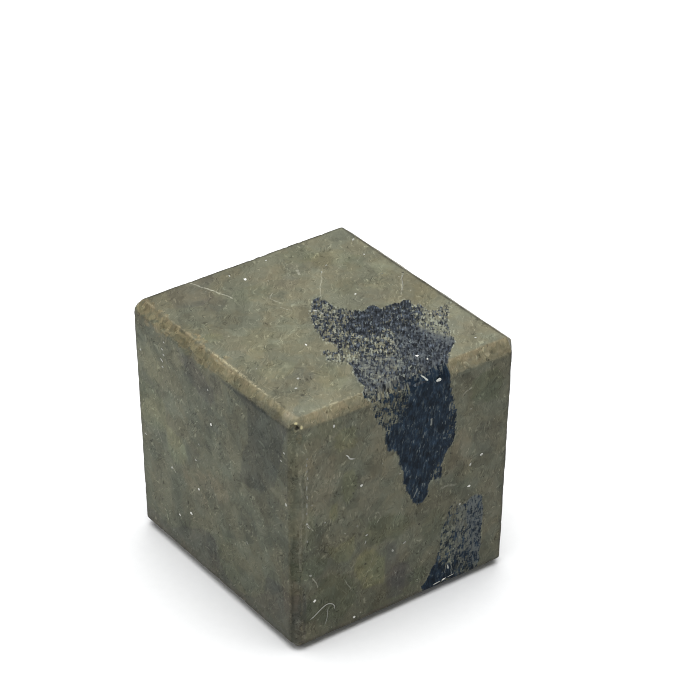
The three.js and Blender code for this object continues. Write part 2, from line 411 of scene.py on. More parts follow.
# face, across, up, half width, half height, turn in degrees, tone, strength
BLOTCHES = (
    ("top", 9.2, 28.9, 1.3, 1.3, 0, "slate", 0.36),
    ("top", 4.5, 23.6, 3.4, 2.2, 20, "slate", 0.27),
    ("top", 6.6, 24.4, 1.6, 1.4, 40, "mauve", 0.36),
    ("top", 11.0, 23.8, 2.6, 1.7, 10, "moss", 0.27),
    ("top", 14.5, 26.4, 2.0, 1.5, 15, "rose", 0.30),
    ("top", 16.0, 23.6, 1.5, 1.2, 50, "mauve", 0.30),
    ("top", 18.3, 25.9, 1.0, 0.6, 60, "rose", 0.42),
    ("top", 20.5, 27.6, 2.2, 2.0, 0, "olive", 0.21),
    ("top", 27.0, 28.4, 1.6, 1.4, 0, "slate", 0.42),
    ("top", 23.0, 25.0, 2.8, 1.9, -30, "olive", 0.21),
    ("top", 24.2, 22.6, 1.8, 1.4, 45, "moss", 0.21),
    ("top", 26.4, 20.2, 1.3, 2.0, -35, "pale", 0.30),
    ("top", 20.2, 19.0, 1.8, 1.6, 45, "moss", 0.18),
    ("top", 23.6, 17.5, 1.4, 1.5, 0, "pale", 0.21),
    ("top", 21.5, 15.6, 2.6, 1.5, 5, "mauve", 0.21),
    ("top", 2.2, 20.6, 1.5, 2.2, 0, "pale", 0.21),
    ("top", 2.6, 18.6, 1.2, 1.0, 0, "olive", 0.30),
    ("top", 7.0, 19.6, 3.2, 1.7, -20, "slate", 0.21),
    ("top", 6.4, 15.6, 2.0, 3.0, -30, "moss", 0.21),
    ("top", 9.8, 14.5, 2.0, 4.5, -35, "pale", 0.18),
    ("top", 3.6, 12.9, 2.2, 1.2, 30, "brass", 0.18),
    ("top", 3.4, 14.9, 1.6, 1.0, 10, "rose", 0.24),
    ("top", 4.2, 5.4, 3.0, 2.6, 25, "slate", 0.33),
    ("top", 6.2, 7.2, 1.1, 1.4, 0, "mauve", 0.30),
    ("top", 8.3, 5.0, 1.6, 3.0, -35, "olive", 0.21),
    ("top", 25.8, 5.2, 1.8, 2.2, -40, "mauve", 0.24),
    ("top", 26.8, 12.8, 1.4, 2.8, -40, "brass", 0.18),
    ("top", 27.7, 21.5, 0.8, 1.6, 0, "slate", 0.36),
    ("top", 1.2, 1.9, 1.6, 1.0, 40, "film", 0.25),
    ("south", 6.4, 25.8, 1.4, 1.9, 20, "olive", 0.55),
    ("south", 6.9, 19.5, 1.0, 2.2, 0, "olive", 0.6),
    ("south", 5.1, 17.0, 0.6, 1.1, 0, "olive", 0.7),
    ("south", 14.2, 4.6, 1.8, 2.2, 20, "mauve", 0.8),
    ("south", 14.4, 7.4, 1.1, 1.4, 0, "rose", 0.6),
    ("south", 9.2, 11.0, 1.2, 1.2, 0, "slate", 0.5),
    ("south", 4.6, 5.6, 3.6, 3.2, 0, "moss", 0.6),
    ("south", 1.0, 6.4, 1.4, 3.6, 0, "slate", 0.4),
    ("south", 2.0, 15.6, 0.9, 2.8, 0, "pale", 0.5),
    ("south", 3.2, 21.6, 2.2, 4.4, 0, "rose", 0.55),
    ("south", 9.6, 17.6, 1.6, 3.2, 0, "rose", 0.45),
    ("south", 11.3, 22.4, 1.4, 4.4, 15, "rose", 0.35),
    ("south", 4.0, 27.9, 2.6, 1.0, 0, "moss", 0.35),
    ("south", 22.0, 17.2, 1.5, 3.6, 0, "rose", 0.6),
    ("south", 22.3, 14.6, 1.6, 1.7, 0, "moss", 0.3),
    ("south", 25.2, 25.2, 2.3, 2.2, 0, "moss", 0.7),
    ("south", 25.6, 18.6, 2.0, 2.4, 10, "slate", 0.45),
    ("south", 26.6, 8.8, 1.4, 4.6, 0, "rose", 0.35),
    ("south", 18.6, 9.6, 1.6, 2.2, 0, "moss", 0.35),
    ("south", 16.6, 3.6, 1.4, 1.2, 0, "moss", 0.5),
    ("west", 5.6, 17.8, 3.6, 1.9, 10, "slate", 0.3),
    ("west", 17.6, 26.4, 3.8, 1.6, 20, "mauve", 0.85),
    ("west", 15.8, 22.6, 2.6, 1.5, 35, "slate", 0.5),
    ("west", 14.2, 27.4, 1.3, 1.3, 0, "mauve", 0.5),
    ("west", 26.6, 23.6, 1.7, 2.7, 0, "pale", 0.25),
    ("west", 15.6, 13.4, 3.2, 1.7, -10, "rose", 0.65),
    ("west", 18.8, 11.2, 2.8, 1.1, 20, "rose", 0.5),
    ("west", 19.2, 15.6, 1.2, 1.9, 20, "slate", 0.5),
    ("west", 8.6, 13.0, 1.5, 1.6, 0, "slate", 0.45),
    ("west", 15.9, 4.4, 1.3, 2.4, 0, "slate", 0.4),
    ("west", 12.8, 5.6, 2.2, 3.2, 0, "moss", 0.3),
    ("west", 3.4, 5.6, 2.0, 2.6, 20, "slate", 0.4),
    ("west", 1.9, 28.7, 1.1, 1.4, -20, "film", 0.45),
    ("west", 1.5, 7.5, 1.1, 3.6, 0, "rose", 0.8),
    ("west", 1.2, 21.6, 0.7, 3.2, 0, "rose", 0.5),
    ("east", 8.0, 22.0, 3.2, 4.2, 20, "olive", 0.6),
    ("east", 14.6, 16.0, 3.0, 2.2, -25, "slate", 0.6),
    ("east", 22.2, 23.4, 3.0, 3.4, 30, "rose", 0.5),
    ("east", 24.0, 9.0, 2.6, 4.0, -10, "moss", 0.7),
    ("east", 12.2, 6.4, 4.0, 1.9, 10, "olive", 0.5),
    ("east", 5.2, 10.6, 2.0, 3.4, 0, "mauve", 0.6),
    ("east", 18.6, 11.4, 2.2, 1.8, 0, "pale", 0.3),
    ("east", 16.6, 26.4, 2.6, 1.5, 0, "slate", 0.5),
    ("north", 6.2, 21.0, 3.4, 3.0, 15, "slate", 0.7),
    ("north", 12.6, 25.0, 2.4, 2.4, 0, "olive", 0.5),
    ("north", 21.8, 20.2, 3.2, 4.2, -20, "rose", 0.5),
    ("north", 9.8, 9.6, 3.8, 2.2, 10, "olive", 0.7),
    ("north", 17.2, 12.0, 2.4, 3.4, 30, "moss", 0.7),
    ("north", 24.6, 7.0, 2.6, 3.0, 0, "mauve", 0.6),
    ("north", 4.2, 5.0, 2.4, 2.2, 0, "rose", 0.5),
    ("north", 16.0, 3.8, 3.0, 1.7, 0, "slate", 0.5),
    ("base", 8.0, 9.0, 4.0, 3.0, 20, "slate", 0.6),
    ("base", 18.0, 21.0, 4.2, 3.4, -15, "olive", 0.6),
    ("base", 8.6, 22.6, 3.0, 3.2, 0, "rose", 0.5),
    ("base", 22.0, 10.6, 3.0, 4.0, 30, "moss", 0.6),
)
# Crystal plates with clear outlines: face, tone, strength, corners.
PLATES = (
    ("west", "slate", 0.95, (
        (10.8, 28.6), (8.1, 27.6), (8.3, 23.3), (9.4, 21.5), (10.0, 17.8), (8.7, 17.5), (5.9, 18.4),
        (3.5, 20.4), (2.7, 23.0), (2.1, 25.3), (1.6, 27.4), (0.7, 29.1), (4.0, 29.6), (7.6, 29.3))),
    # A painted shadow band on the west side just under the bevel, in the slate tone.
    ("west", "slate", 0.9, ((4.4, 29.05), (12.8, 28.9), (12.8, 28.5), (4.4, 28.6))),
    ("west", "mauve", 0.75, (
        (31, 3.2), (24, 2.8), (22, 4.4), (20, 5.2), (18, 6.5), (15.3, 6.6), (14.4, 3.2), (11, 2.0), (8, 3.0),
        (6, 5.0), (5.4, 7.6), (3, 7.9), (-1, 7.6), (-1, -1), (31, -1))),
    ("west", "pale", 0.8, (
        (24.4, 17.0), (21.0, 16.4), (20.4, 14.8), (21.0, 13.4), (23.1, 12.4), (24.3, 13.6))),
    ("west", "pale", 0.6, (
        (29.8, 20.4), (27.0, 20.5), (24.5, 19.8), (24.2, 16.9), (25.2, 15.2), (29.8, 15.0))),
    ("south", "olive", 0.8, (
        (8.2, 9.6), (9.2, 10.4), (10.5, 9.9), (11.2, 8.6), (12.0, 8.2), (12.05, 4.5), (10.4, 4.9),
        (9.2, 4.9), (8.4, 6.6), (7.8, 8.3))),
    ("south", "mauve", 0.75, (
        (12.1, 9.9), (13.6, 9.4), (13.8, 6.8), (15.0, 5.8), (14.6, 2.0), (12.15, 2.0))),
    ("south", "olive", 0.6, (
        (4.2, 12.9), (5.4, 12.2), (7.8, 12.8), (8.0, 11.0), (7.2, 9.7), (5.4, 10.2), (4.6, 11.6))),
    ("south", "moss", 0.6, (
        (9.6, 10.6), (9.0, 12.2), (9.8, 13.9), (12.5, 13.6), (14.8, 12.6), (15.4, 11.0), (13.5, 10.0),
        (12.0, 10.6), (11.0, 10.0))),
    ("south", "moss", 0.6, ((0.1, 11.9), (2.6, 12.4), (4.4, 11.0), (3.6, 9.4), (0.1, 9.6))),
    ("top", "mauve", 0.5, (
        (2.6, 26.0), (4.0, 30.4), (10.4, 30.4), (9.6, 28.6), (8.2, 28.0), (7.6, 25.6), (5.4, 24.8))),
    ("top", "olive", 0.2, (
        (2.4, 10.4), (3.8, 11.0), (5.6, 11.4), (7.0, 9.6), (5.6, 8.0), (3.9, 7.8), (2.8, 8.6))),
)
PLATE_RIM = (-0.12, 0.14)

BLOTCH_THICKNESS = 1.6
BLOTCH_RIM = (1.06, 0.84)


def face_point(face, across, up):
    """A point of a face from its two tabled coordinates, in the block's frame."""
    levels = {"west": 0.0, "east": WIDTH, "south": 0.0, "north": DEPTH, "base": 0.0, "top": HEIGHT}
    point = np.zeros(3)
    point[axis_of(face)] = levels[face]
    point[other_axes(face)] = across, up
    return point


def distance_inside(polygon, u, v):
    """How far each place lies inside a polygon, and less than 0 outside it."""
    corners = np.array(polygon)
    nearest = np.full(len(u), np.inf)
    odd = np.zeros(len(u), bool)
    for (x0, y0), (x1, y1) in zip(corners, np.roll(corners, -1, axis=0)):
        dx, dy = x1 - x0, y1 - y0
        t = np.clip(((u - x0) * dx + (v - y0) * dy) / (dx * dx + dy * dy), 0, 1)
        nearest = np.minimum(nearest, np.hypot(u - x0 - t * dx, v - y0 - t * dy))
        if y0 != y1:
            crossing = ((y0 > v) != (y1 > v)) & (u < x0 + (v - y0) * dx / dy)
            odd ^= crossing
    return np.where(odd, nearest, -nearest)


tone_and_shade = np.ones((len(points), 3))
warp = 0.30 * noise_at(block, 0.55, 3.0) + 0.22 * noise_at(block, 1.5, 9.0) + 0.12 * noise_at(block, 3.6, 2.0)
for face, across, up, half_wide, half_high, turn, tone, strength in BLOTCHES:
    away = block - face_point(face, across, up)
    level = np.abs(away[:, axis_of(face)])
    a, b = away[:, other_axes(face)].T
    c, s = math.cos(math.radians(turn)), math.sin(math.radians(turn))
    radius = np.hypot((c * a + s * b) / half_wide, (c * b - s * a) / half_high) + warp
    weight = smoothstep(*BLOTCH_RIM, radius) * smoothstep(BLOTCH_THICKNESS, 0.8, level) * strength
    tone_and_shade *= 1 + weight[:, None] * (np.array(TONES[tone]) - 1)
for face, tone, strength, corners in PLATES:
    level = np.abs(block[:, axis_of(face)] - face_point(face, 0, 0)[axis_of(face)])
    near = np.nonzero(level < BLOTCH_THICKNESS)[0]
    a, b = block[near][:, other_axes(face)].T
    weight = strength * smoothstep(*PLATE_RIM, distance_inside(corners, a, b) + 0.3 * warp[near])
    tone_and_shade[near] *= 1 + weight[:, None] * (np.array(TONES[tone]) - 1)

# Painted shading over a side, for how the light falls on it: its hue, then its tone by the four corners, low
# and high across, at the foot and at the head, and the gain in its middle. The upright sides are painted
# darker towards their foot.
PAINTED_SIDE_SHADE = {
    "west": ((0.97, 1.0, 0.98), (0.65, 0.75), (0.65, 0.95), 0.15),
    "south": ((1.0, 1.0, 1.0), (0.75, 0.7), (0.9, 0.75), 0.0),
    "top": ((1.02, 1.0, 0.97), (1.05, 1.1), (0.8, 1.0), 0.0),
}
for face, (hue, (low_foot, high_foot), (low_head, high_head), middle) in PAINTED_SIDE_SHADE.items():
    level = np.abs(block[:, axis_of(face)] - face_point(face, 0, 0)[axis_of(face)])
    a, b = (block[:, other_axes(face)] / SIZES[other_axes(face)]).clip(0, 1).T
    painted_shade = (low_foot * (1 - a) + high_foot * a) * (1 - b) + (low_head * (1 - a) + high_head * a) * b
    painted_shade += middle * np.sin(math.pi * a) * np.sin(math.pi * b)
    tone_and_shade *= 1 + smoothstep(0.9, 0.3, level)[:, None] * (np.outer(painted_shade, hue) - 1)

# The dark patches.

# Both are drawn on the top and the south side unfolded about their shared edge: x across, and up from
# that edge, so that -30 is the ground. Further down comes the base.
MAIN_PATCH = (
    (9.1, 0.4), (9.5, -0.6), (9.8, -1.3), (10.0, -2.4), (10.2, -3.2), (11.0, -4.6), (11.5, -5.3),
    (11.8, -7.2), (12.1, -8.0), (12.9, -8.3), (13.5, -9.3), (13.7, -10.6), (14.2, -12.0), (14.4, -13.4),
    (15.1, -14.9), (15.7, -16.2), (16.3, -16.9), (16.9, -16.6), (17.5, -15.7), (17.6, -14.6),
    (18.1, -14.0), (18.7, -14.5), (19.1, -15.0), (19.4, -14.2), (19.3, -12.7), (19.8, -11.3),
    (20.9, -10.3), (21.1, -8.8), (21.1, -6.8), (20.6, -4.6), (20.1, -2.9), (20.0, -1.2), (20.1, 0.0),
    (20.6, 0.9), (21.1, 1.6), (22.4, 2.4), (23.2, 2.9), (23.5, 4.3), (24.3, 5.5), (25.2, 6.9),
    (26.4, 8.2), (27.9, 9.7), (26.6, 9.6), (25.4, 9.1), (24.7, 10.0), (24.7, 11.3), (23.8, 11.2),
    (24.6, 12.8), (23.9, 12.95), (21.6, 13.1), (20.7, 12.9), (20.9, 13.8), (20.2, 14.1), (18.7, 13.9),
    (18.2, 14.7), (17.3, 15.4), (16.9, 16.6), (16.8, 18.9), (16.3, 19.0), (15.1, 18.1), (14.0, 16.6),
    (12.9, 14.6), (12.1, 12.6), (11.9, 10.9), (12.6, 10.4), (12.0, 8.9), (11.6, 8.3), (11.2, 9.5),
    (10.5, 9.9), (10.3, 8.9), (9.9, 8.0), (10.3, 7.3), (11.2, 6.5), (11.4, 5.4), (10.6, 4.4),
    (10.2, 3.1), (10.0, 1.6),
)
LOWER_PATCH = (
    (17.2, -28.4), (17.9, -27.6), (18.9, -25.9), (19.3, -24.6), (19.6, -23.0), (19.7, -21.2),
    (20.3, -20.6), (20.6, -19.3), (21.0, -18.3), (21.7, -18.0), (22.0, -18.9), (22.4, -19.2),
    (23.2, -18.9), (24.0, -18.5), (25.2, -18.9), (25.4, -20.6), (25.4, -23.2), (25.3, -25.6),
    (25.2, -27.6), (25.0, -29.0), (24.4, -30.6), (23.0, -31.8), (21.4, -32.4), (19.6, -31.4),
    (18.2, -30.3), (17.3, -29.2),
)
# How thickly the dark mineral covers each part of the patches: x, up, half width, half height, share. Between
# the parts the shares blend. First the top, then the bevel and the side under it, then the lower patch.
COVER = (
    (15, 16, 2.5, 3.5, 0.5),  # far knob
    (18.2, 11.8, 2.4, 1.8, 0.95),  # solid heart
    (22, 11.2, 1.6, 1.6, 0.85),
    (25, 9, 1.6, 1.5, 0.35),  # frayed right corner
    (20, 6.5, 1.5, 2.5, 0.7),
    (15, 8, 2.5, 2, 0.55),
    (11.5, 8, 1.5, 1.5, 0.4),  # small left spur
    (23, 6, 1.5, 1.5, 0.3),
    (14, 4, 3, 2, 0.5),
    (18.5, 1.5, 2.5, 1.5, 0.6),
    (12, -2, 2, 2, 0.45),  # frayed left shoulder
    (17, -5, 3, 4, 1.1),  # solid tongue
    (16.5, -12, 2, 3.5, 1.1),
    (20.8, -7, 0.5, 3, 0.7),
    (18.8, -14, 0.7, 1, 0.65),
    (22, -20.5, 1.5, 2, 0.2),
    (24.4, -22, 1, 3, 0.35),
    (21, -24.5, 1.5, 2, 0.4),
    (19, -28, 1.8, 1.5, 1.0),  # solid foot
    (23.5, -28, 1.5, 1, 0.5),
    (21.5, -30.6, 3, 1.2, 0.7),
)
# How far a grey film veils the stone between the flecks, in the same way.
VEIL = (
    (20.5, 4.5, 2, 3, 0.8),
    (24.5, 7, 2, 2, 0.35),
    (13, 3, 2.5, 2, 0.6),
    (16, 13, 4, 5, 0.15),
    (18.5, -1, 1.5, 0.7, 0.7),
    (12, -3, 1.5, 1.5, 0.1),
    (16.5, -8, 3, 4, 0.3),
    (24.4, -22.5, 1, 4, 0.7),
    (22.5, -24.5, 1, 3, 0.5),
    (20, -23, 1, 3, 0.2),
    (20, -29, 3, 1.5, 0.3),
)
BLEND_FADE = 1.6  # how fast a part's say falls off away from its middle


def blend_of(table, u, v):
    """The blended share at each place."""
    total, weights = np.zeros(len(u)), np.full(len(u), 1e-6)
    for x, y, half_wide, half_high, share in table:
        far = ((u - x) / half_wide) ** 2 + ((v - y) / half_high) ** 2
        weight = np.exp(-BLEND_FADE * far) / (half_wide * half_high)
        total += weight * share
        weights += weight
    return total / weights


cover, veil = np.zeros(len(points)), np.zeros(len(points))
x, y, z = block.T
upper = (z > 15) & (block[:, 1] < 22)
shown = np.nonzero((upper | (y < 6)) & (x > 7) & (x < 29.4))[0]
fold = np.where(z > 15, y + z - HEIGHT, z - HEIGHT - y)[shown]
jag = 0.16 * noise_at(block[shown], 1.4, 1.0) + 0.1 * noise_at(block[shown], 3.4, 6.0)
inside = np.maximum(distance_inside(MAIN_PATCH, x[shown], fold), distance_inside(LOWER_PATCH, x[shown], fold))
rim = 0.1 * np.exp(-(((inside + jag - 0.15) / 0.25) ** 2))
within = smoothstep(-0.16, 0.1, inside + jag)
spread = blend_of(COVER, x[shown], fold)
cover[shown] = (spread + rim * (spread < 0.85)) * within
veil[shown] = blend_of(VEIL, x[shown], fold) * within

# Smaller patches on the hidden sides: face, across, up, half width, half height, turn, share.
HIDDEN_PATCHES = (
    ("east", 11.4, 27.6, 2.2, 2.4, 20, 0.4),
    ("east", 21.6, 6.4, 1.5, 3.0, -14, 0.8),
    ("east", 19.6, 3.2, 1.4, 2.2, 10, 0.6),
    ("north", 21.2, 12.8, 1.9, 3.8, 12, 0.9),
    ("north", 18.8, 9.0, 1.2, 2.2, -10, 0.6),
    ("north", 22.6, 17.6, 1.0, 2.0, 0, 0.5),
    ("base", 12.4, 16.4, 2.2, 3.2, 35, 0.7),
)
for face, across, up, half_wide, half_high, turn, share in HIDDEN_PATCHES:
    away = block - face_point(face, across, up)
    level = np.abs(away[:, axis_of(face)])
    a, b = away[:, other_axes(face)].T
    c, s = math.cos(math.radians(turn)), math.sin(math.radians(turn))
    radius = np.hypot((c * a + s * b) / half_wide, (c * b - s * a) / half_high) + 1.3 * warp
    here = smoothstep(1.05, 0.6, radius) * smoothstep(1.6, 0.8, level)
    cover, veil = np.maximum(cover, share * here), np.maximum(veil, 0.4 * here)

# Wear of the bevels and their arrises, with painted highlights and painted shade along the arrises.

# Strength along each edge: place along it in millimetres, strength. A bevel is named by its two faces in
# either order. An arris is named by the face it bounds and then the neighbour.
BRASSY = {
    "top/west": ((0, 0.5), (3, 0.9), (12, 1.0), (30, 1.0)),
    "south/top": ((0, 0.3), (2.5, 1.0), (8.5, 0.9), (10.5, 0.5), (20, 0.6), (21, 1.0), (29, 1.0)),
    "south/west": ((0, 0.0), (30, 0.15)),
    "east/south": ((0, 0.0), (30, 0.0)),
    "top/north": ((0, 0.5), (30, 0.5)),
    "top/east": ((0, 0.6), (30, 0.6)),
}
BRASSY_ELSEWHERE = 0.4
# Pale arrises, partly from rubbing and partly a painted highlight along them.
RUBBED_AND_HIGHLIT_ARRIS = {
    "top/west": (
        (0, 0.2), (5.5, 0.35), (7.5, 0.8), (11, 1.0), (14.8, 1.1), (16.2, 0.5), (18, 0.25), (30, 0.3)),
    "top/south": (
        (0, 0.1), (2, 0.2), (4, 0.45), (7.5, 0.5), (9, 0.3), (10, 0.1), (20, 0.0), (21.5, 0.2),
        (28, 0.15)),
    "south/top": ((0, 0.1), (9, 0.15), (10, 0.0), (20, 0.0), (21, 0.3), (29, 0.3)),
    "west/top": ((0, 0.1), (30, 0.2)),
    "west/south": ((0, 0.1), (30, 0.1)),
    "south/west": ((0, 0.1), (30, 0.12)),
}
RUBBED_AND_HIGHLIT_ELSEWHERE = 0.25
# Dirt, and painted shade, along these arrises: a dark band where the bevel beyond turns away from the light,
# and at the foot, where the stone meets the ground.
GRIME_AND_SHADE_EDGES = {
    "top/north": 1.0,
    "top/east": 1.0,
    "west/north": 1.0,
    "south/east": 1.0,
    "west/base": 0.8,
    "south/base": 0.8,
}
GRIME_AND_SHADE_ELSEWHERE = 0.25
NIBBLED = (12.0, 14.5)

LATTICE_SIDES = ("west", "south", "base", "east", "north", "top")
ranked = np.argsort(np.concatenate([places, CELLS - places], axis=1), axis=1, kind="stable")[:, :2]


def along_edges(table, elsewhere, either_way):
    """For every point, the table's value for its nearest edge, at the point's place along that edge."""
    value = np.full(len(points), float(elsewhere))
    for name, steps in table.items():
        first, second = (LATTICE_SIDES.index(side) for side in name.split("/"))
        here = (ranked[:, 0] == first) & (ranked[:, 1] == second)
        if either_way:
            here |= (ranked[:, 0] == second) & (ranked[:, 1] == first)
        runs = 3 - first % 3 - second % 3
        if isinstance(steps, float):
            value[here] = steps
        else:
            value[here] = np.interp(block[here, runs], *zip(*steps))
    return value


# How light a bevel is against its usual tone, along it. The one between top and west is palest near the
# front and dull where it is nibbled.
BEVEL_TONES = {
    "top/west": ((0, 1.3), (5, 1.4), (15, 1.1), (20, 0.8), (25, 0.85), (30, 1.2)),
    "south/top": ((0, 1.0), (8, 1.3), (20, 1.1), (28, 1.6)),
    "south/west": ((0, 0.8), (10, 0.8), (20, 1.15), (30, 1.1)),
}
tone_and_shade *= 1 + on_bevel[:, None] * (along_edges(BEVEL_TONES, 1.0, True)[:, None] - 1)

arris = np.exp(-((from_outline / 1.0) ** 2))
# A dark band along each arris: dirt, and painted shade.
grime = np.exp(-((np.minimum(from_outline, 0) / 2.5) ** 2)) * smoothstep(2.6, 0.4, from_outline)
# From NIBBLED on, the bevel between top and west is nibbled, and its brass reaches out unevenly.
nibbled = smoothstep(*NIBBLED, block[:, 1]) * (block[:, 0] < 4) * (block[:, 2] > HEIGHT - 4)
reach_rows = np.nonzero(nibbled)[0]
uneven = 1.6 * noise_at(block[reach_rows], 0.9, 4.0) + 0.9 * noise_at(block[reach_rows], 2.4, 8.0)
on_brass = on_bevel.copy()
on_brass[reach_rows] = smoothstep(0.8, -0.8, from_outline[reach_rows] + 5.5 * nibbled[reach_rows] * uneven)
brassy = on_brass * along_edges(BRASSY, BRASSY_ELSEWHERE, True)
# Painted highlights along the pale arrises, with the rubbing there.
rubbed_and_highlight = arris * along_edges(RUBBED_AND_HIGHLIT_ARRIS, RUBBED_AND_HIGHLIT_ELSEWHERE, False)
# Painted shade and dirt along the arrises.
grime_and_shade = grime * along_edges(GRIME_AND_SHADE_EDGES, GRIME_AND_SHADE_ELSEWHERE, False)

# The stone's mesh.


def new_mesh(name, vertices, faces):
    mesh = bpy.data.meshes.new(name)
    mesh.from_pydata(vertices, [], faces)
    mesh.validate()
    mesh.update()
    mesh.shade_smooth()
    piece = bpy.data.objects.new(name, mesh)
    bpy.context.scene.collection.objects.link(piece)
    return piece


stone = new_mesh("pyrite_stone", (points * MM).tolist(), quads.tolist())
wear_and_highlight = stone.data.attributes.new("wear_and_highlight", "FLOAT_VECTOR", "POINT")
wear_and_highlight.data.foreach_set("vector", np.stack([on_bevel, brassy, rubbed_and_highlight], axis=-1).ravel())
hurt_and_shade = stone.data.attributes.new("hurt_and_shade", "FLOAT_VECTOR", "POINT")
hurt_and_shade.data.foreach_set("vector", np.stack([np.clip(broken / 0.2, 0, 1), grime_and_shade, nibbled], axis=-1).ravel())
tones_and_shade = stone.data.attributes.new("tone_and_shade", "FLOAT_VECTOR", "POINT")
tones_and_shade.data.foreach_set("vector", tone_and_shade.ravel())
covers = stone.data.attributes.new("cover", "FLOAT_VECTOR", "POINT")
covers.data.foreach_set("vector", np.stack([cover, veil, smoothstep(0.02, 0.1, cover)], axis=-1).ravel())


# Materials.


SCREEN_TOE = 0.04045  # below this level, screen values run straight


def linear(red, green, blue):
    """A colour from its screen values of 0 to 255."""
    levels = [value / 255 for value in (red, green, blue)]
    return [((v + 0.055) / 1.055) ** 2.4 if v > SCREEN_TOE else v / 12.92 for v in levels] + [1.0]


class Nodes:
    """Short calls that add nodes to a material and return their output sockets."""

    def __init__(self, material):
        material.use_nodes = True
        self.tree = material.node_tree
        self.tree.nodes.clear()

    def put(self, socket, value):
        if isinstance(value, bpy.types.NodeSocket):
            self.tree.links.new(value, socket)
        else:
            socket.default_value = value

    def add(self, kind, inputs=None, **settings):
        node = self.tree.nodes.new(kind)
        for name, value in settings.items():
            setattr(node, name, value)
        for name, value in (inputs or {}).items():
            self.put(node.inputs[name], value)
        return node

    def math(self, operation, a, b=0.0, clamp=False):
        node = self.add("ShaderNodeMath", {0: a, 1: b}, operation=operation, use_clamp=clamp)
        return node.outputs[0]

    def plus(self, a, b):
        return self.math("ADD", a, b)

    def times(self, a, b):
        return self.math("MULTIPLY", a, b)

    def largest(self, values):
        return functools.reduce(lambda a, b: self.math("MAXIMUM", a, b), values)

    def split(self, value):
        return self.add("ShaderNodeSeparateXYZ", {"Vector": value}).outputs

    def moved(self, place, way, length):
        """The place moved along a way by a length."""
        return self.vector("ADD", place, self.vector("SCALE", way, length))

    def vector(self, operation, a, b=(0, 0, 0)):
        node = self.add("ShaderNodeVectorMath", {0: a}, operation=operation)
        self.put(node.inputs["Scale" if operation == "SCALE" else 1], b)
        return node.outputs["Value" if operation in ("LENGTH", "DOT_PRODUCT", "DISTANCE") else "Vector"]

    def range(self, value, low, high, to_low=0.0, to_high=1.0, smooth=True):
        node = self.add(
            "ShaderNodeMapRange",
            {"Value": value, "From Min": low, "From Max": high, "To Min": to_low, "To Max": to_high},
            interpolation_type="SMOOTHSTEP" if smooth else "LINEAR",
        )
        return node.outputs["Result"]

    def swing(self, value, low, high, size):
        """A straight run from -size to size."""
        return self.range(value, low, high, -size, size, False)

    def noise(self, place, scale, detail=2.0, roughness=0.5, distortion=0.0):
        node = self.add(
            "ShaderNodeTexNoise",
            {
                "Vector": place,
                "Scale": scale,
                "Detail": detail,
                "Roughness": roughness,
                "Distortion": distortion,
            },
        )
        return node.outputs["Fac"]

    def cells(self, place, scale, distance="EUCLIDEAN"):
        """A random colour for each cell."""
        node = self.add("ShaderNodeTexVoronoi", {"Vector": place, "Scale": scale}, distance=distance)
        return node.outputs["Color"]

    def mix(self, factor, a, b, blend="MIX"):
        node = self.add("ShaderNodeMix", {"Factor": factor}, data_type="RGBA", blend_type=blend)
        self.put(node.inputs["A"], a)
        self.put(node.inputs["B"], b)
        return node.outputs["Result"]

    def blend(self, factor, a, b):
        node = self.add("ShaderNodeMix", {"Factor": factor}, data_type="FLOAT")
        self.put(node.inputs[2], a)
        self.put(node.inputs[3], b)
        return node.outputs[0]

    def either(self, choice, no, yes):
        """One vector or the other."""
        node = self.add("ShaderNodeMix", {"Factor": choice}, data_type="VECTOR")
        self.put(node.inputs["A"], no)
        self.put(node.inputs["B"], yes)
        return node.outputs["Result"]

    def sheets(self, place, normal, thin, long):
        """The place seen along a slanting normal, so that noise forms thin sheets across it."""
        normal = Vector(normal).normalized()
        side = normal.orthogonal().normalized()
        axes = ((normal, thin), (side, long), (normal.cross(side), long))
        parts = [self.vector("DOT_PRODUCT", place, tuple(axis / size)) for axis, size in axes]
        return self.add("ShaderNodeCombineXYZ", dict(zip("XYZ", parts))).outputs["Vector"]

    def line(self, place, start, end, width, fade=0.5):
        """1 on a straight scratch between two points, and 0 away from it."""
        scale = side_scale(*start)
        a, b = part_point(*start) * scale, part_point(*end) * scale
        course = b - a
        from_start = self.vector("SUBTRACT", self.vector("MULTIPLY", place, tuple(scale)), tuple(a))
        along = self.vector("DOT_PRODUCT", from_start, tuple(course / (course @ course)))
        share = self.math("MULTIPLY", along, 1.0, True)
        nearest = self.add("ShaderNodeVectorMath", {0: tuple(course), "Scale": share}, operation="SCALE")
        gap = self.vector("DISTANCE", from_start, nearest.outputs["Vector"])
        return self.range(gap, width * fade, width * 1.5, 1.0, 0.0)


def part_point(x, y, z):
    """A point of the block's frame in the part's frame. At x or y 0 it lies on the leaning side."""
    point = np.array([x, y, z]) - np.array([WIDTH / 2, DEPTH / 2, 0])
    for axis, face in enumerate(("west", "south")):
        if (x, y)[axis] == 0:
            normal, middle = PLANES[face]
            point[axis] += normal @ (middle - point) / normal[axis]
    return point - FOOTPRINT_MIDDLE


def side_scale(x, y, z):
    """Scales under which the distance from a mark on a side hardly counts across that side."""
    return np.array([ACROSS_SIDE if at == level else 1.0 for at, level in zip((x, y, z), (0, 0, HEIGHT))])


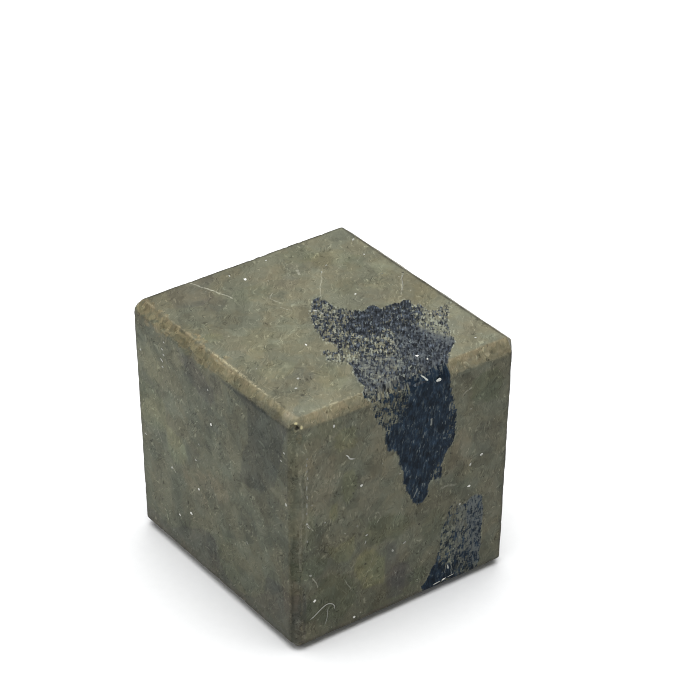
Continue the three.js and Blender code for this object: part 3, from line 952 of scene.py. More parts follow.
class StoneNodes(Nodes):
    """The stone's patterns, and the layers of its colour from the bare stone outwards."""

    def __init__(self, material):
        super().__init__(material)
        self.place = self.vector("SCALE", self.add("ShaderNodeTexCoord").outputs["Object"], 1 / MM)
        self.bevel, self.brassy, self.rubbed_and_highlight = self.split(self.attribute("wear_and_highlight"))
        self.chip, self.grime, self.nibbled = self.split(self.attribute("hurt_and_shade"))
        self.share, self.veil, self.within = self.split(self.attribute("cover"))
        facing = self.split(self.vector("ABSOLUTE", self.add("ShaderNodeTexCoord").outputs["Normal"]))
        self.on_top = self.math("GREATER_THAN", facing["Z"], TOP_FACING)
        on_x = self.math("GREATER_THAN", facing["X"], facing["Y"])

        # Grinding streaks and flecks follow their own course on each side: across it, along it.
        self.ways = []
        for top, by_x, by_y in (STREAKS_ACROSS, STREAKS_ALONG):
            self.ways.append(self.either(self.on_top, self.either(on_x, by_y, by_x), top))

        # The place, shaken in several ways.
        swirl = self.swirl(0.5, 2.0)
        fine_swirl = self.swirl(2.4, 3.0)
        self.swirled = self.moved(self.place, swirl, 1.6)
        self.ragged = self.moved(self.place, fine_swirl, 0.55)
        self.nudged = self.moved(self.moved(self.place, swirl, 1.3), fine_swirl, 0.22)
        self.flow = self.moved(self.ragged, swirl, 2.2)
        self.straight = self.moved(self.place, fine_swirl, 0.16)
        self.shaken = self.moved(self.place, self.vector("SUBTRACT", fine_swirl, MIDDLE_GREY), 0.25)
        self.bent = self.moved(self.place, self.vector("SUBTRACT", swirl, MIDDLE_GREY), 0.9)

        # Patterns that more than one layer uses.
        self.mottle = self.noise(self.swirled, 0.62, 4.0, 0.62, 0.3)
        self.grain = self.noise(self.ragged, 2.7, 2.0, 0.7)
        self.streaks = self.noise(self.course(self.flow, 0.19, 0.8), 1.0, 2.0, 0.6)
        self.crystals = [
            self.split(self.cells(self.nudged, 0.21)),
            self.split(self.cells(self.course(self.nudged, 2.3, 2.9, 2.0), 1.0, "CHEBYCHEV")),
            self.split(self.cells(self.course(self.nudged, 0.9, 1.3, 4.0), 1.0, "CHEBYCHEV")),
        ]
        self.lumps = self.split(self.cells(self.ragged, 1.15))
        self.blocks = self.split(self.cells(self.course(self.straight, 0.5, 0.6), 1.0, "CHEBYCHEV"))
        crumb_size = self.blend(self.on_top, 0.25, 0.19), self.blend(self.on_top, 0.5, 0.26)
        self.crumbs = self.split(self.cells(self.course(self.straight, *crumb_size, 3.0), 1.0, "CHEBYCHEV"))
        self.pit = self.pits()
        self.dark = self.darkness()

    def attribute(self, name):
        return self.add("ShaderNodeAttribute", attribute_name=name).outputs["Vector"]

    def swirl(self, scale, detail):
        inputs = {"Vector": self.place, "Scale": scale, "Detail": detail}
        return self.add("ShaderNodeTexNoise", inputs).outputs["Color"]

    def course(self, source, across, along, shift=0.0):
        """The place in steps across and along the streaks."""
        dots = [self.vector("DOT_PRODUCT", source, way) for way in self.ways]
        parts = [self.math("DIVIDE", dot, size) for dot, size in zip(dots, (across, along))]
        return self.add("ShaderNodeCombineXYZ", {"X": parts[0], "Y": parts[1], "Z": shift}).outputs["Vector"]

    def spots(self, scale, share_of_cells, small, large, shift):
        """Round spots of random size in a share of the cells."""
        shifted = self.vector("ADD", self.ragged, shift)
        spot = self.add("ShaderNodeTexVoronoi", {"Vector": shifted, "Scale": scale})
        drawn = self.split(spot.outputs["Color"])
        size = self.range(drawn["Y"], 0.0, 1.0, small * scale, large * scale, False)
        near = self.range(self.math("DIVIDE", spot.outputs["Distance"], size), 0.55, 1.1, 1.0, 0.0)
        return self.times(near, self.math("GREATER_THAN", drawn["X"], 1 - share_of_cells))

    def strongest(self, source, table):
        """The strongest of a table's straight marks at each place."""
        return self.largest([self.times(self.line(source, *mark), strength) for *mark, strength in table])

    def pits(self):
        fewer_on_top = self.range(self.on_top, 0.0, 1.0, 1.0, 0.6)
        pits = self.times(self.spots(0.62, 0.26, 0.09, 0.19, (0, 0, 0)), fewer_on_top)
        pinholes = self.times(self.spots(1.5, 0.3, 0.05, 0.11, (5.2, 1.3, 8.4)), fewer_on_top)
        return self.largest([pits, self.times(pinholes, 0.4)])

    def strokes(self):
        """Short bright and dark strokes."""
        strokes = self.noise(self.course(self.flow, 0.24, 0.7, 7.0), 1.0, 0.0)
        bright, dim = self.range(strokes, 0.64, 0.76, 0.0, 0.6), self.range(strokes, 0.32, 0.22, 0.0, 0.35)
        return self.math("SUBTRACT", bright, dim)

    def curls(self):
        """Curled marks with one light and one dark border."""
        bends = self.noise(self.vector("ADD", self.nudged, (7.0, 3.0, 11.0)), 1.9, 0.0)
        bends = self.math("SUBTRACT", bends, 0.5)
        near = self.range(self.math("ABSOLUTE", bends), 0.1, 0.06)
        borders = self.times(near, self.range(bends, -0.03, 0.03, -0.3, 0.4))
        curled = self.range(self.noise(self.place, 1.1, 1.0), 0.58, 0.66)
        return self.times(borders, self.times(curled, self.blend(self.on_top, 0.55, 1.0)))

    def light(self):
        """Tone of the bare stone: clouds, mottling, crystals with clear borders, streaks and marks."""
        light = self.swing(self.noise(self.place, 0.16, 3.0, 0.55, 0.5), 0.3, 0.7, 0.05)
        light = self.plus(light, self.swing(self.mottle, 0.3, 0.7, 0.06))
        for crystal, size in zip(self.crystals, CRYSTAL_SWINGS):
            light = self.plus(light, self.swing(crystal["X"], 0.0, 1.0, size))
        # Some places are smooth, and others are full of marks.
        marked = self.range(self.noise(self.place, 0.5, 2.0, 0.6, 0.4), 0.47, 0.6)
        elsewhere = self.vector("ADD", self.place, (31.0, 17.0, 5.0))
        streaky = self.range(self.noise(elsewhere, 0.55, 2.0, 0.6), 0.46, 0.6)
        streaks = self.swing(self.streaks, 0.25, 0.75, STREAK_SWING)
        grain = self.swing(self.grain, 0.25, 0.75, GRAIN_SWING)
        for pattern, where in ((streaks, streaky), (grain, marked), (self.strokes(), marked)):
            light = self.plus(light, self.times(pattern, self.range(where, 0.0, 1.0, 0.25, 1.0, False)))
        light = self.plus(light, self.curls())
        return self.times(light, self.range(self.on_top, 0.0, 1.0, SIDE_CONTRAST, 1.0, False))

    def bare_stone(self):
        hue = self.range(self.noise(self.swirled, 0.3, 3.0, 0.6), 0.35, 0.65, -0.25, 0.65)
        hue = self.plus(hue, self.times(self.plus(self.crystals[0]["Y"], self.crystals[1]["Y"]), 0.3))
        return self.mix(hue, STONE_COOL, STONE_WARM)

    def brass(self):
        lumpy = self.times(self.nibbled, self.swing(self.lumps["X"], 0, 1, 0.3))
        brass = self.vector("SCALE", self.mix(self.nibbled, BRASS, BRASS_NIBBLED), self.plus(lumpy, 1.0))
        mottle = self.noise(self.vector("ADD", self.ragged, (2.0, 5.0, 1.0)), 1.3, 3.0, 0.7)
        rosy = self.mix(1.0, brass, BRASS_ROSY, "MULTIPLY")
        brass = self.mix(self.range(mottle, 0.4, 0.62), brass, rosy)
        return self.vector("SCALE", brass, self.range(mottle, 0.3, 0.7, 0.82, 1.2, False))

    def add_wear_and_painted_light(self, body):
        """Brassy bevels, the colours of the tables with the painted shading, pale arrises from rubbing with
        painted highlights, chips, and dirt with painted shade along the arrises.
        """
        patchy = self.range(self.noise(self.swirled, 0.9, 3.0, 0.65), 0.32, 0.6, 0.45, 1.0)
        body = self.mix(self.times(self.brassy, patchy), body, self.brass())
        # The table colours, with the painted shading over the sides.
        body = self.mix(1.0, body, self.attribute("tone_and_shade"), "MULTIPLY")
        body = self.vector("SCALE", body, self.math("MAXIMUM", self.plus(self.light(), 1.0), DARKEST))
        worn_and_highlight = self.range(self.noise(self.swirled, 1.6, 4.0, 0.7), 0.42, 0.6, 0.08, 1.0)
        # Pale arrises: rubbing, and painted highlights.
        body = self.mix(self.times(self.rubbed_and_highlight, worn_and_highlight), body, RUBBED_AND_HIGHLIGHT)
        chipped = self.range(self.noise(self.place, 3.0, 2.0), 0.35, 0.65, -0.2, 1.0)
        body = self.mix(self.times(self.times(self.chip, chipped), 0.45), body, FRESH)
        # Dirt and painted shade along the arrises.
        return self.mix(self.times(self.grime, self.range(self.mottle, 0.3, 0.6, 0.85, 0.6)), body, GRIME_AND_SHADE_COLOUR)

    def add_marks(self, body):
        """Pits painted dark as shade, glints, the scratches and dots of the tables, with painted shade and
        painted glints in the chip at the front corner, and faint scratches everywhere.
        """
        # Pits are painted dark: painted shade in the hollows.
        body = self.mix(self.times(self.pit, 0.7), body, PIT_SHADE)
        body = self.mix(self.times(self.spots(1.3, 0.08, 0.04, 0.11, (3.1, 7.7, 1.9)), 0.4), body, GLINT)
        broken = self.range(self.noise(self.place, 2.2, 3.0, 0.7), 0.38, 0.56, 0.25, 1.0)
        named = self.times(self.strongest(self.bent, SCRATCHES), broken)
        sheets = [self.sheets(self.place, normal, 0.1, 2.6) for normal in FAINT_SCRATCHES]
        faint = self.largest([self.range(self.noise(sheet, 1.0, 1.0), 0.68, 0.76) for sheet in sheets])
        body = self.mix(self.largest([named, self.times(faint, 0.08)]), body, SCRATCH)
        # Dots of painted shade, and crumbs with painted glints.
        for table, dot_colour in ((PAINTED_SHADE_DOTS, PIT_SHADE), (GLINT_CRUMB_DOTS, CRUMB_GLINT)):
            for centre, radius, strength in table:
                scale = side_scale(*centre)
                flat = self.vector("MULTIPLY", self.shaken, tuple(scale))
                far = self.vector("DISTANCE", flat, tuple(part_point(*centre) * scale))
                body = self.mix(self.range(far, radius * 0.5, radius * 1.25, strength, 0.0), body, dot_colour)
        return body

    def darkness(self):
        """Where the dark mineral shows. Where its cover is thin, it lies in fine woven flecks."""
        upright = self.noise(self.course(self.straight, 0.15, 0.62, 11.0), 1.0, 0.0)
        level_lines = self.noise(self.course(self.straight, 0.6, 0.17, 13.0), 1.0, 0.0)
        veins = self.noise(self.course(self.ragged, 0.6, 0.8, 5.0), 1.0, 3.0, 0.65)
        level = self.plus(self.times(self.blocks["X"], 0.2), self.times(self.crumbs["X"], 0.3))
        for pattern, weight in ((upright, 0.19), (level_lines, 0.13), (veins, 0.18)):
            level = self.plus(level, self.range(pattern, 0.28, 0.72, 0.0, weight, False))
        gap = self.math("SUBTRACT", self.share, self.range(level, 0.23, 0.77, 0.0, 1.0, False))
        thin, thick = self.range(gap, -0.25, 0.15, 0.0, 1.0, False), self.range(self.share, 0.85, 1.0)
        return self.times(self.largest([thin, thick]), self.within)

    def add_film(self, body):
        """The bright grains and the grey film between the flecks of the mineral."""
        grains = self.times(self.within, self.range(self.crumbs["Z"], 0.0, 1.0, -0.3, 0.5))
        body = self.vector("SCALE", body, self.plus(grains, 1.0))
        pale = self.range(self.crumbs["Z"], 0.5, 0.95, 0.0, self.blend(self.on_top, 0.45, 0.62))
        body = self.mix(self.times(self.within, pale), body, self.mix(self.on_top, GRAIN_SIDE, GRAIN))
        film_course = self.course(self.ragged, 0.55, self.blend(self.on_top, 2.4, 0.9), 15.0)
        film = self.math("SUBTRACT", self.veil, self.noise(film_course, 1.0, 2.0, 0.6))
        film = self.times(self.veil, self.range(film, -0.25, 0.25, 0.25, 1.3))
        film_colour = self.mix(self.on_top, FILM_SIDE, self.mix(self.crumbs["Y"], FILM, FILM_LIGHT))
        return self.mix(self.times(film, self.within), body, film_colour)

    def mineral(self):
        """The dark mineral: faceted on the top, and smooth on the sides, with upright lines and blotches."""
        facets = self.noise(self.course(self.straight, 0.24, 0.5, 9.0), 1.0, 1.0, 0.7)
        lines = self.noise(self.course(self.ragged, 0.24, 1.3, 17.0), 1.0, 2.0, 0.6)
        lumpy = self.noise(self.course(self.ragged, 0.9, 1.6, 21.0), 1.0, 3.0, 0.65)
        side_facets = self.plus(self.times(lines, 0.5), self.times(lumpy, 0.5))
        side_facets = self.swing(side_facets, 0.0, 1.0, SIDE_FACETS)
        facets = self.blend(self.on_top, side_facets, self.swing(facets, 0.0, 1.0, FACETS))
        facets = self.plus(facets, self.swing(self.blocks["Z"], 0.0, 1.0, 0.35))
        on_side = self.mix(self.range(lines, 0.52, 0.7), MINERAL_SIDE, MINERAL_GREY)
        mineral = self.mix(self.on_top, on_side, MINERAL_TOP)
        mineral = self.vector("SCALE", mineral, self.math("POWER", 2.0, facets))
        flash = self.noise(self.course(self.ragged, 0.2, 0.75, 19.0), 1.0, 0.0)
        flash = self.range(flash, 0.66, 0.76, 0.0, self.blend(self.on_top, 0.75, 1.0))
        flash = self.times(flash, self.range(self.noise(self.place, 0.9, 1.0), 0.45, 0.6))
        sparks = self.times(self.spots(1.35, 0.1, 0.06, 0.14, (9.1, 0.7, 4.9)), 0.6)
        return self.mix(self.largest([sparks, self.times(flash, 0.75)]), mineral, SPARKLE)

    def roughness(self):
        roughness = self.range(self.mottle, 0.3, 0.7, 0.52, 0.42, False)
        roughness = self.plus(roughness, self.swing(self.grain, 0.3, 0.7, 0.06))
        roughness = self.math("SUBTRACT", roughness, self.times(self.bevel, 0.05))
        roughness = self.plus(roughness, self.times(self.chip, 0.12))
        return self.blend(self.dark, roughness, MINERAL_ROUGHNESS)

    def relief(self):
        height = self.plus(self.times(self.grain, 0.6), self.times(self.streaks, 0.3))
        height = self.plus(height, self.times(self.noise(self.place, 12.0, 2.0), 0.15))
        broken = self.times(self.noise(self.place, 7.0, 3.0), 1.6)
        height = self.plus(height, self.times(self.chip, broken))
        lumpy_bevel = self.times(self.nibbled, self.bevel)
        height = self.plus(height, self.times(lumpy_bevel, self.times(self.lumps["X"], 1.2)))
        height = self.math("SUBTRACT", height, self.times(self.pit, 1.2))
        bump = self.add("ShaderNodeBump", {"Strength": 1.0, "Distance": RELIEF * MM, "Height": height})
        return bump.outputs["Normal"]


def stone_material():
    material = bpy.data.materials.new("ground_pyrite")
    n = StoneNodes(material)
    body = n.add_film(n.add_marks(n.add_wear_and_painted_light(n.bare_stone())))
    colour = n.mix(n.dark, body, n.mineral())
    # Bright flecks on the dark mineral, with painted glints.
    colour = n.mix(n.strongest(n.shaken, GLINT_FLECKS), colour, FLECK_GLINT)
    metal = n.times(n.math("SUBTRACT", 1.0, n.dark), METAL)
    shader = n.add(
        "ShaderNodeBsdfPrincipled",
        {"Base Color": colour, "Metallic": metal, "Roughness": n.roughness(), "Normal": n.relief()},
    )
    shader.inputs["Specular IOR Level"].default_value = STONE_SPECULAR
    n.add("ShaderNodeOutputMaterial", {"Surface": shader.outputs[0]})
    return material


# Ways across and along the streaks on the top, on the east and west and on the north and south sides. On the
# top the streaks are longer.
STREAKS_ACROSS = ((-0.8, 0.6, 0.0), (0.0, 0.84, 0.54), (0.99, 0.0, -0.12))
STREAKS_ALONG = ((0.35, 0.47, 0.0), (0.0, -0.54, 0.84), (0.12, 0.0, 0.99))
METAL = 0.12
STONE_SPECULAR = 0.06
MINERAL_ROUGHNESS = 0.6
RELIEF = 0.03  # depth of the relief in millimetres
ACROSS_SIDE = 0.08  # share of the distance across a side that counts for a mark on it
TOP_FACING = 0.6  # upright part of the way out from which a place counts as the top or the base
MIDDLE_GREY = (0.5, 0.5, 0.5)
DARKEST = 0.35  # share of its tone that the bare stone keeps in its darkest marks
CRYSTAL_SWINGS = (0.09, 0.11, 0.07)
STREAK_SWING, GRAIN_SWING = 0.34, 0.15
FAINT_SCRATCHES = ((0.7, 0.5, 0.5), (-0.5, 0.65, 0.57), (0.8, -0.55, 0.25))
SIDE_CONTRAST = 1.25  # of the upright sides against the top
STONE_COOL = linear(95, 97, 84)
STONE_WARM = linear(98, 96, 80)
BRASS = linear(104, 99, 79)
BRASS_NIBBLED = linear(114, 107, 84)
BRASS_ROSY = (1.02, 0.98, 1.01, 1)
# Colour of the pale arrises, with their painted highlight.
RUBBED_AND_HIGHLIGHT = linear(176, 168, 138)
SCRATCH = linear(156, 155, 140)
FRESH = linear(120, 113, 88)
# Colour of the dirt and painted shade along the arrises.
GRIME_AND_SHADE_COLOUR = linear(30, 30, 28)
# Painted shade in pits and hollows.
PIT_SHADE = linear(36, 36, 33)
GLINT = linear(180, 180, 168)
# Crumbs in the chip, with a painted glint.
CRUMB_GLINT = linear(176, 168, 130)
# Flecks on the dark mineral, with a painted glint.
FLECK_GLINT = linear(176, 180, 172)
SPARKLE = linear(104, 112, 112)
GRAIN = linear(138, 142, 130)
GRAIN_SIDE = linear(100, 103, 92)
FILM = linear(62, 66, 70)
FILM_LIGHT = linear(84, 89, 90)
FILM_SIDE = linear(82, 87, 88)
MINERAL_TOP = linear(37, 41, 46)
MINERAL_SIDE = linear(24, 35, 46)
MINERAL_GREY = linear(39, 45, 48)
FACETS, SIDE_FACETS = 4.2, 4.6  # doublings of the dark mineral's tone, up and down

# Scratches: start, end, width, strength.
SCRATCHES = (
    ((7.1, 29.8, 30.0), (7.43, 28.33, 30.0), 0.09, 0.6),
    ((7.43, 28.33, 30.0), (8.29, 26.65, 30.0), 0.09, 0.8),
    ((8.29, 26.65, 30.0), (8.96, 24.32, 30.0), 0.08, 0.7),
    ((18.2, 25.0, 30.0), (17.9, 24.2, 30.0), 0.12, 0.5),
    ((20.1, 22.9, 30.0), (18.4, 20.9, 30.0), 0.05, 0.45),
    ((18.4, 20.9, 30.0), (16.9, 18.9, 30.0), 0.05, 0.4),
    ((13.1, 22.6, 30.0), (12.3, 21.6, 30.0), 0.07, 0.4),
    ((12.3, 21.6, 30.0), (12.6, 20.4, 30.0), 0.06, 0.35),
    ((12.1, 19.7, 30.0), (12.7, 18.4, 30.0), 0.07, 0.4),
    ((27.5, 17.8, 30.0), (24.5, 14.1, 30.0), 0.06, 0.4),
    ((21.9, 0.0, 25.2), (22.9, 0.0, 25.9), 0.12, 0.4),
    ((19.5, 0.0, 14.2), (21.5, 0.0, 13.9), 0.13, 0.26),
    ((2.35, 0.0, 9.3), (3.07, 0.0, 8.0), 0.06, 0.5),
    ((6.6, 0.0, 7.4), (7.7, 0.0, 5.3), 0.05, 0.35),
    ((1.7, 0.0, 16.8), (2.5, 0.0, 15.7), 0.05, 0.5),
    ((0.95, 0.0, 24.0), (0.95, 0.0, 11.0), 0.12, 0.17),
    ((1.62, 0.0, 25.0), (1.62, 0.0, 13.5), 0.11, 0.14),
    ((10.9, 0.0, 14.4), (11.25, 0.0, 13.7), 0.06, 0.4),
    ((11.25, 0.0, 13.7), (10.9, 0.0, 13.2), 0.06, 0.4),
    ((10.3, 0.0, 9.2), (9.25, 0.0, 5.5), 0.04, 0.3),
    ((0.0, 26.3, 15.1), (0.0, 25.4, 13.9), 0.06, 0.35),
    ((0.0, 23.7, 11.8), (0.0, 23.0, 11.2), 0.08, 0.6),
)
# Bright flecks of pyrite on the dark mineral, each with a painted glint, in the same form.
GLINT_FLECKS = (
    ((16.6, 0.52, 29.52), (17.17, 0.02, 28.95), 0.09, 0.85),
    ((17.72, 0.0, 23.9), (17.7, 0.0, 23.2), 0.11, 0.34),
    ((20.13, 0.0, 24.8), (20.1, 0.0, 24.1), 0.08, 0.24),
    ((16.88, 0.0, 22.5), (16.65, 0.0, 21.9), 0.06, 0.2),
    ((16.1, 0.0, 15.5), (15.7, 0.0, 14.5), 0.06, 0.25),
    ((21.25, 0.0, 3.3), (21.3, 0.0, 1.7), 0.05, 0.35),
    ((20.45, 0.0, 3.2), (20.4, 0.0, 2.2), 0.05, 0.2),
)
# Bright crumbs with painted glints in the chip at the front corner, and dark dots of painted shade: in the
# chip's hollow, in pits, and around a pale speck on the west side. Place, radius, strength.
GLINT_CRUMB_DOTS = (((0.71, 0.72, 29.52), 0.18, 0.8), ((1.08, 0.25, 29.18), 0.2, 0.6))
PAINTED_SHADE_DOTS = (
    ((0.81, 0.64, 28.93), 0.24, 0.9),
    ((0.86, 0.7, 29.14), 0.16, 0.7),
    ((16.5, 0.0, 10.6), 0.12, 0.9),
    ((17.7, 0.0, 13.8), 0.12, 0.9),
    ((27.5, 17.8, 30.0), 0.16, 0.8),
    ((3.9, 4.0, 30.0), 0.24, 0.6),
    ((0.0, 15.2, 21.85), 0.32, 0.7),
    ((14.4, 0.0, 9.0), 0.16, 0.5),
)

stone.data.materials.append(stone_material())
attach(stone, "root")
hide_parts(NODE)

# Dust and fibres on the stone.

SPECK_CELLS = 4
# face, across, up, long radius, short radius, height, turn, paleness from 0 to 1
SPECKS = (
    ("top", 12.4, 26.8, 0.25, 0.11, 0.05, 55, 1.0),
    ("top", 20.4, 17.1, 0.17, 0.13, 0.05, 0, 0.8),
    ("top", 9.9, 11.8, 0.17, 0.1, 0.04, 80, 0.8),
    ("top", 18.15, 3.1, 0.2, 0.15, 0.05, 90, 1.0),
    ("top", 18.6, 2.0, 0.2, 0.11, 0.04, 55, 0.7),
    ("top", 25.4, 2.3, 0.13, 0.1, 0.04, 30, 0.5),
    ("top", 26.4, 23.5, 0.16, 0.11, 0.04, 60, 0.5),
    ("top", 16.6, 28.8, 0.16, 0.12, 0.04, 20, 0.5),
    ("top", 20.2, 23.1, 0.12, 0.08, 0.03, 60, 0.3),
    ("top", 27.4, 26.9, 0.24, 0.1, 0.03, 40, 0.35),
    ("top", 4.1, 5.5, 0.2, 0.1, 0.03, 10, 0.35),
    ("top", 11.4, 28.4, 0.2, 0.1, 0.03, 70, 0.35),
    ("south", 4.96, 27.96, 0.15, 0.12, 0.05, 0, 0.6),
    ("south", 8.67, 18.94, 0.15, 0.12, 0.05, 0, 0.75),
    ("south", 2.73, 6.23, 0.2, 0.13, 0.06, -50, 1.0),
    ("south", 7.94, 1.65, 0.17, 0.14, 0.06, 0, 0.9),
    ("south", 23.25, 12.9, 0.15, 0.13, 0.06, 0, 1.0),
    ("south", 24.8, 16.5, 0.2, 0.12, 0.05, 20, 0.6),
    ("south", 23.35, 15.8, 0.15, 0.11, 0.05, 60, 0.5),
    ("south", 18.46, 28.6, 0.24, 0.19, 0.07, 0, 0.75),
    ("south", 20.8, 2.9, 0.24, 0.11, 0.05, 100, 0.8),
    ("south", 1.65, 16.9, 0.15, 0.12, 0.04, 0, 0.45),
    ("south", 9.46, 12.15, 0.16, 0.11, 0.04, 10, 0.45),
    ("south", 9.3, 11.2, 0.17, 0.07, 0.03, 70, 0.25),
    ("south", 14.55, 8.9, 0.24, 0.08, 0.03, 20, 0.25),
    ("south", 13.0, 8.5, 0.17, 0.09, 0.03, -60, 0.3),
    ("south", 22.1, 11.0, 0.13, 0.1, 0.04, 0, 0.35),
    ("south", 1.6, 25.2, 0.08, 0.18, 0.03, 5, 0.12),
    ("south", 1.55, 24.4, 0.08, 0.2, 0.03, 0, 0.14),
    ("south", 1.6, 23.6, 0.08, 0.16, 0.03, -8, 0.14),
    ("south", 1.7, 22.7, 0.08, 0.2, 0.03, 4, 0.19),
    ("south", 1.6, 21.5, 0.08, 0.22, 0.03, 0, 0.14),
    ("south", 1.65, 20.3, 0.08, 0.18, 0.03, 10, 0.17),
    ("south", 1.6, 19.3, 0.08, 0.24, 0.03, 0, 0.12),
    ("south", 1.6, 18.2, 0.08, 0.2, 0.03, 0, 0.12),
    ("south", 1.9, 16.3, 0.06, 0.3, 0.03, 40, 0.35),
    ("south", 1.7, 14.6, 0.08, 0.2, 0.03, 0, 0.12),
    ("south", 19.3, 1.32, 0.5, 0.05, 0.05, 6, 0.6),
    ("south", 20.3, 1.45, 0.36, 0.1, 0.05, 14, 0.95),
    ("south", 21.2, 1.52, 0.4, 0.05, 0.05, 4, 0.5),
    ("west", 15.2, 21.9, 0.21, 0.17, 0.05, 12, 1.0),
    ("west", 18.2, 11.6, 0.17, 0.13, 0.05, 45, 0.8),
    ("west", 20.0, 7.3, 0.19, 0.15, 0.05, 0, 1.0),
    ("west", 22.4, 5.7, 0.17, 0.11, 0.05, 30, 0.9),
    ("west", 15.6, 26.1, 0.13, 0.11, 0.04, 0, 0.45),
    ("west", 1.5, 19.2, 0.13, 0.2, 0.04, 0, 0.5),
    ("west", 1.7, 25.7, 0.13, 0.1, 0.03, 0, 0.35),
    ("west", 2.3, 24.4, 0.13, 0.1, 0.03, 0, 0.3),
    ("west", 18.6, 15.3, 0.14, 0.1, 0.03, 0, 0.4),
    ("west", 23.6, 11.5, 0.2, 0.13, 0.04, -40, 0.5),
    ("west", 24.0, 27.8, 0.15, 0.11, 0.04, 0, 0.5),
    ("west", 24.4, 26.7, 0.2, 0.09, 0.04, 10, 0.5),
    ("west", 24.2, 26.1, 0.17, 0.08, 0.03, 20, 0.4),
    ("west", 24.6, 25.2, 0.2, 0.12, 0.04, 30, 0.5),
    ("west", 24.5, 24.4, 0.13, 0.1, 0.03, 0, 0.35),
    ("west", 28.9, 24.4, 0.13, 0.17, 0.04, 0, 0.5),
    ("west", 28.8, 13.2, 0.24, 0.1, 0.04, 0, 0.45),
)
STRAY_SPECKS = 46
# face, radius, paleness, points across and up
FIBRES = (
    ("south", 0.055, 0.34, (
        (2.1, 3.9), (2.9, 4.35), (3.6, 4.8), (4.3, 5.08), (4.9, 4.9), (5.3, 4.45), (5.3, 4.0))),
    ("south", 0.045, 0.22, ((4.5, 4.6), (4.4, 3.9), (4.35, 3.2), (4.05, 2.3))),
    ("south", 0.075, 0.5, ((6.5, 23.75), (6.85, 23.4), (7.05, 23.05), (7.75, 22.75))),
    ("top", 0.03, 0.3, ((25.0, 14.6), (25.9, 15.7), (26.6, 16.8), (27.6, 17.7))),
)
FIBRE_SIDES = 6
FIBRE_STEPS = 6  # between two of its points
FIBRE_LIFT, FIBRE_HEIGHT = 0.25, 0.8  # in radii


def on_face(face, across, up):
    """A point of the part on a face, with the ways across, up and out of it there."""
    normal, middle = PLANES[face]
    point = face_point(face, across, up) - np.array([WIDTH / 2, DEPTH / 2, 0])
    axis = axis_of(face)
    point[axis] += (normal @ (middle - point)) / normal[axis]
    first = np.eye(3)[other_axes(face)[0]]
    first = unit(first - normal * (first @ normal))
    second = np.eye(3)[other_axes(face)[1]]
    second = unit(second - normal * (second @ normal) - first * (second @ first))
    return point - FOOTPRINT_MIDDLE, first, second, normal


def speck(spec, rng):
    face, across, up, long, short, height, turn, _ = spec
    point, first, second, normal = on_face(face, across, up)
    c, s = math.cos(math.radians(turn)), math.sin(math.radians(turn))
    places, quads = lattice(SPECK_CELLS)
    ball = unit(places / SPECK_CELLS * 2 - 1.0)
    phase = rng.random(3) * 6.3
    ball = ball * (1 + 0.22 * np.sin(ball * 2.6 + phase).sum(axis=1, keepdims=True))
    axes = np.array([(first * c + second * s) * long, (second * c - first * s) * short, normal * height])
    return point + ball @ axes, quads


def fibre(face, radius, course):
    knots = np.array([on_face(face, *spot)[0] for spot in course])
    normal = PLANES[face][0]
    ends = np.vstack([2 * knots[0] - knots[1], knots, 2 * knots[-1] - knots[-2]])
    path = []
    for a, b, c, d in zip(ends, ends[1:], ends[2:], ends[3:]):
        for t in np.linspace(0, 1, FIBRE_STEPS, endpoint=False):
            spot = 2 * b + (c - a) * t
            spot = spot + (2 * a - 5 * b + 4 * c - d) * t * t
            spot = spot + (3 * b - a - 3 * c + d) * t**3
            path.append(0.5 * spot)
    path = np.array([*path, knots[-1]])
    along = unit(np.gradient(path, axis=0))
    side = unit(np.cross(normal, along))
    thin = radius * np.clip(np.minimum(np.arange(len(path)), np.arange(len(path))[::-1]) / 3, 0.25, 1)
    rings = []
    for k in range(FIBRE_SIDES):
        angle = 2 * math.pi * k / FIBRE_SIDES
        upward = FIBRE_LIFT + FIBRE_HEIGHT * math.sin(angle)
        rings.append(path + thin[:, None] * (side * math.cos(angle) + normal * upward))
    vertices = np.stack(rings, axis=1).reshape(-1, 3)
    count = len(path)
    quads = []
    for ring in range(count - 1):
        here, there = ring * FIBRE_SIDES, (ring + 1) * FIBRE_SIDES
        for k in range(FIBRE_SIDES):
            following = (k + 1) % FIBRE_SIDES
            quads.append((here + k, here + following, there + following, there + k))
    caps = [tuple(range(FIBRE_SIDES))[::-1], tuple((count - 1) * FIBRE_SIDES + k for k in range(FIBRE_SIDES))]
    return vertices, quads + caps


def stray_specks(rng):
    for _ in range(STRAY_SPECKS):
        face = ("west", "south", "east", "east", "east", "north", "north", "north", "top")[rng.integers(9)]
        a, b = SIZES[other_axes(face)]
        across, up = 1.6 + (a - 3.2) * rng.random(), 1.6 + (b - 3.2) * rng.random()
        size = 0.05 + 0.07 * rng.random() ** 2
        long, turn, pale = size * (1 + rng.random()), 180 * rng.random(), 0.4 * rng.random()
        yield (face, across, up, long, size, size * 0.35, turn, pale)


def joined(name, shapes):
    """One mesh of several shapes, each with its paleness."""
    vertices, faces, pale = [], [], []
    for (points, quads), level in shapes:
        start = len(vertices)
        vertices += (points * MM).tolist()
        faces += [[start + int(k) for k in quad] for quad in quads]
        pale += [level] * len(points)
    piece = new_mesh(name, vertices, faces)
    piece.data.attributes.new("pale", "FLOAT", "POINT").data.foreach_set("value", pale)
    return piece


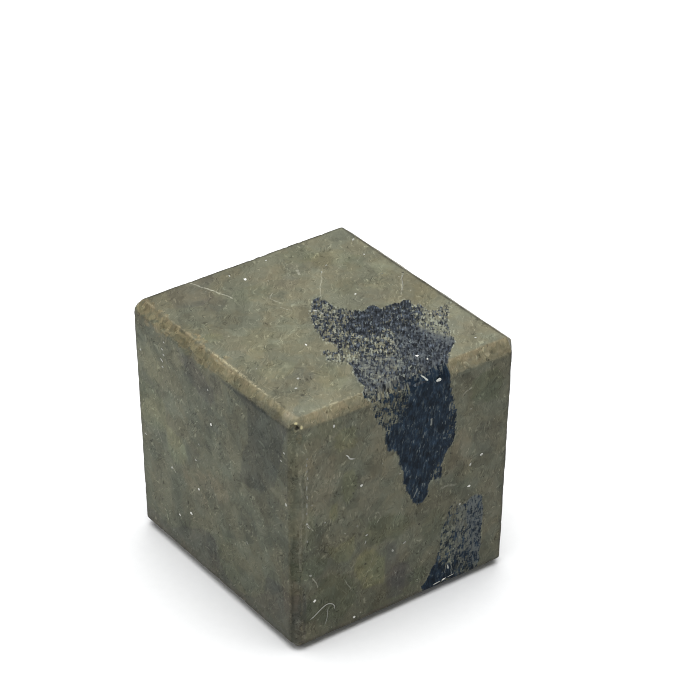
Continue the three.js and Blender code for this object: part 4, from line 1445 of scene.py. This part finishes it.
def dust_material():
    material = bpy.data.materials.new("pale_dust")
    n = Nodes(material)
    place = n.vector("SCALE", n.add("ShaderNodeTexCoord").outputs["Object"], 1 / MM)
    lumps = n.noise(place, 9.0, 3.0, 0.6)
    pale = n.add("ShaderNodeAttribute", attribute_name="pale").outputs["Fac"]
    colour = n.mix(pale, DUST_DULL, DUST_PALE)
    colour = n.vector("SCALE", colour, n.range(lumps, 0.3, 0.7, 0.8, 1.1, False))
    bump = n.add("ShaderNodeBump", {"Strength": 0.6, "Distance": 0.03 * MM, "Height": lumps})
    roughness = n.range(lumps, 0.3, 0.7, 0.6, 0.9, False)
    shader = n.add(
        "ShaderNodeBsdfPrincipled",
        {"Base Color": colour, "Roughness": roughness, "Normal": bump.outputs["Normal"]},
    )
    n.add("ShaderNodeOutputMaterial", {"Surface": shader.outputs[0]})
    return material


DUST_DULL = linear(88, 90, 80)
DUST_PALE = linear(205, 205, 198)

speck_rng = np.random.default_rng(7)
listed = [*SPECKS, *stray_specks(speck_rng)]
dust = joined("dust_grains", [(speck(spec, speck_rng), spec[7]) for spec in listed])
fibres = joined("fibres", [(fibre(face, radius, course), pale) for face, radius, pale, course in FIBRES])
dusty = dust_material()
for piece in (dust, fibres):
    piece.data.materials.append(dusty)
    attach(piece, "root")

# Camera, floor and light.

CAMERA_PLACE = (-136.039, -187.167, 171.403)
CAMERA_TURN, CAMERA_RISE, CAMERA_ROLL = -126.77281, 32.17924, 0.49443
CAMERA_LENS = 129.0475

turn, rise, roll = (math.radians(a) for a in (CAMERA_TURN, CAMERA_RISE, CAMERA_ROLL))
back = Vector((math.cos(turn) * math.cos(rise), math.sin(turn) * math.cos(rise), math.sin(rise)))
level_right = (-back).cross(Vector((0, 0, 1))).normalized()
level_up = level_right.cross(-back)
right = level_right * math.cos(roll) + level_up * math.sin(roll)
up = -level_right * math.sin(roll) + level_up * math.cos(roll)
camera = bpy.data.objects.new("camera", bpy.data.cameras.new("camera"))
camera.data.lens = CAMERA_LENS
camera.data.sensor_width = 36
camera.data.clip_start = 0.01
camera_axes = Matrix((right, up, back)).transposed().to_4x4()
camera.matrix_world = Matrix.Translation(Vector(CAMERA_PLACE) * MM) @ camera_axes
bpy.context.scene.collection.objects.link(camera)
bpy.context.scene.camera = camera

floor = new_mesh("floor", [(-3, -3, 0), (3, -3, 0), (3, 3, 0), (-3, 3, 0)], [(0, 1, 2, 3)])
floor_material = bpy.data.materials.new("pale_table")
n = Nodes(floor_material)
paper = n.noise(n.add("ShaderNodeTexCoord").outputs["Object"], 900.0, 2.0)
paper_colour = n.mix(paper, (0.7, 0.705, 0.71, 1), (0.73, 0.735, 0.74, 1))
table = n.add("ShaderNodeBsdfPrincipled", {"Base Color": paper_colour, "Roughness": 0.7})
table.inputs["Specular IOR Level"].default_value = 0.2
n.add("ShaderNodeOutputMaterial", {"Surface": table.outputs[0]})
floor.data.materials.append(floor_material)


def soft_light(name, place, aim, size, power, colour=(1, 1, 1)):
    data = bpy.data.lights.new(name, "AREA")
    data.size = size
    data.energy = power
    data.color = colour
    lamp = bpy.data.objects.new(name, data)
    lamp.location = place
    lamp.rotation_euler = (Vector(aim) - Vector(place)).to_track_quat("-Z", "Y").to_euler()
    bpy.context.scene.collection.objects.link(lamp)
    return lamp


soft_light("overhead", (0.0, 0.0, 1.0), (0, 0, 0), 1.06, 18.9)
soft_light("left", (-0.9, 0.1, 0.5), (0, 0, 0.015), 0.6, 1.6)

world = bpy.data.worlds.new("studio")
world.use_nodes = True
world.node_tree.nodes["Background"].inputs["Color"].default_value = (1.0, 1.0, 1.0, 1)
world.node_tree.nodes["Background"].inputs["Strength"].default_value = 0.42
bpy.context.scene.world = world
bpy.context.scene.view_settings.view_transform = "Standard"
bpy.context.scene.cycles.filter_width = 1.0
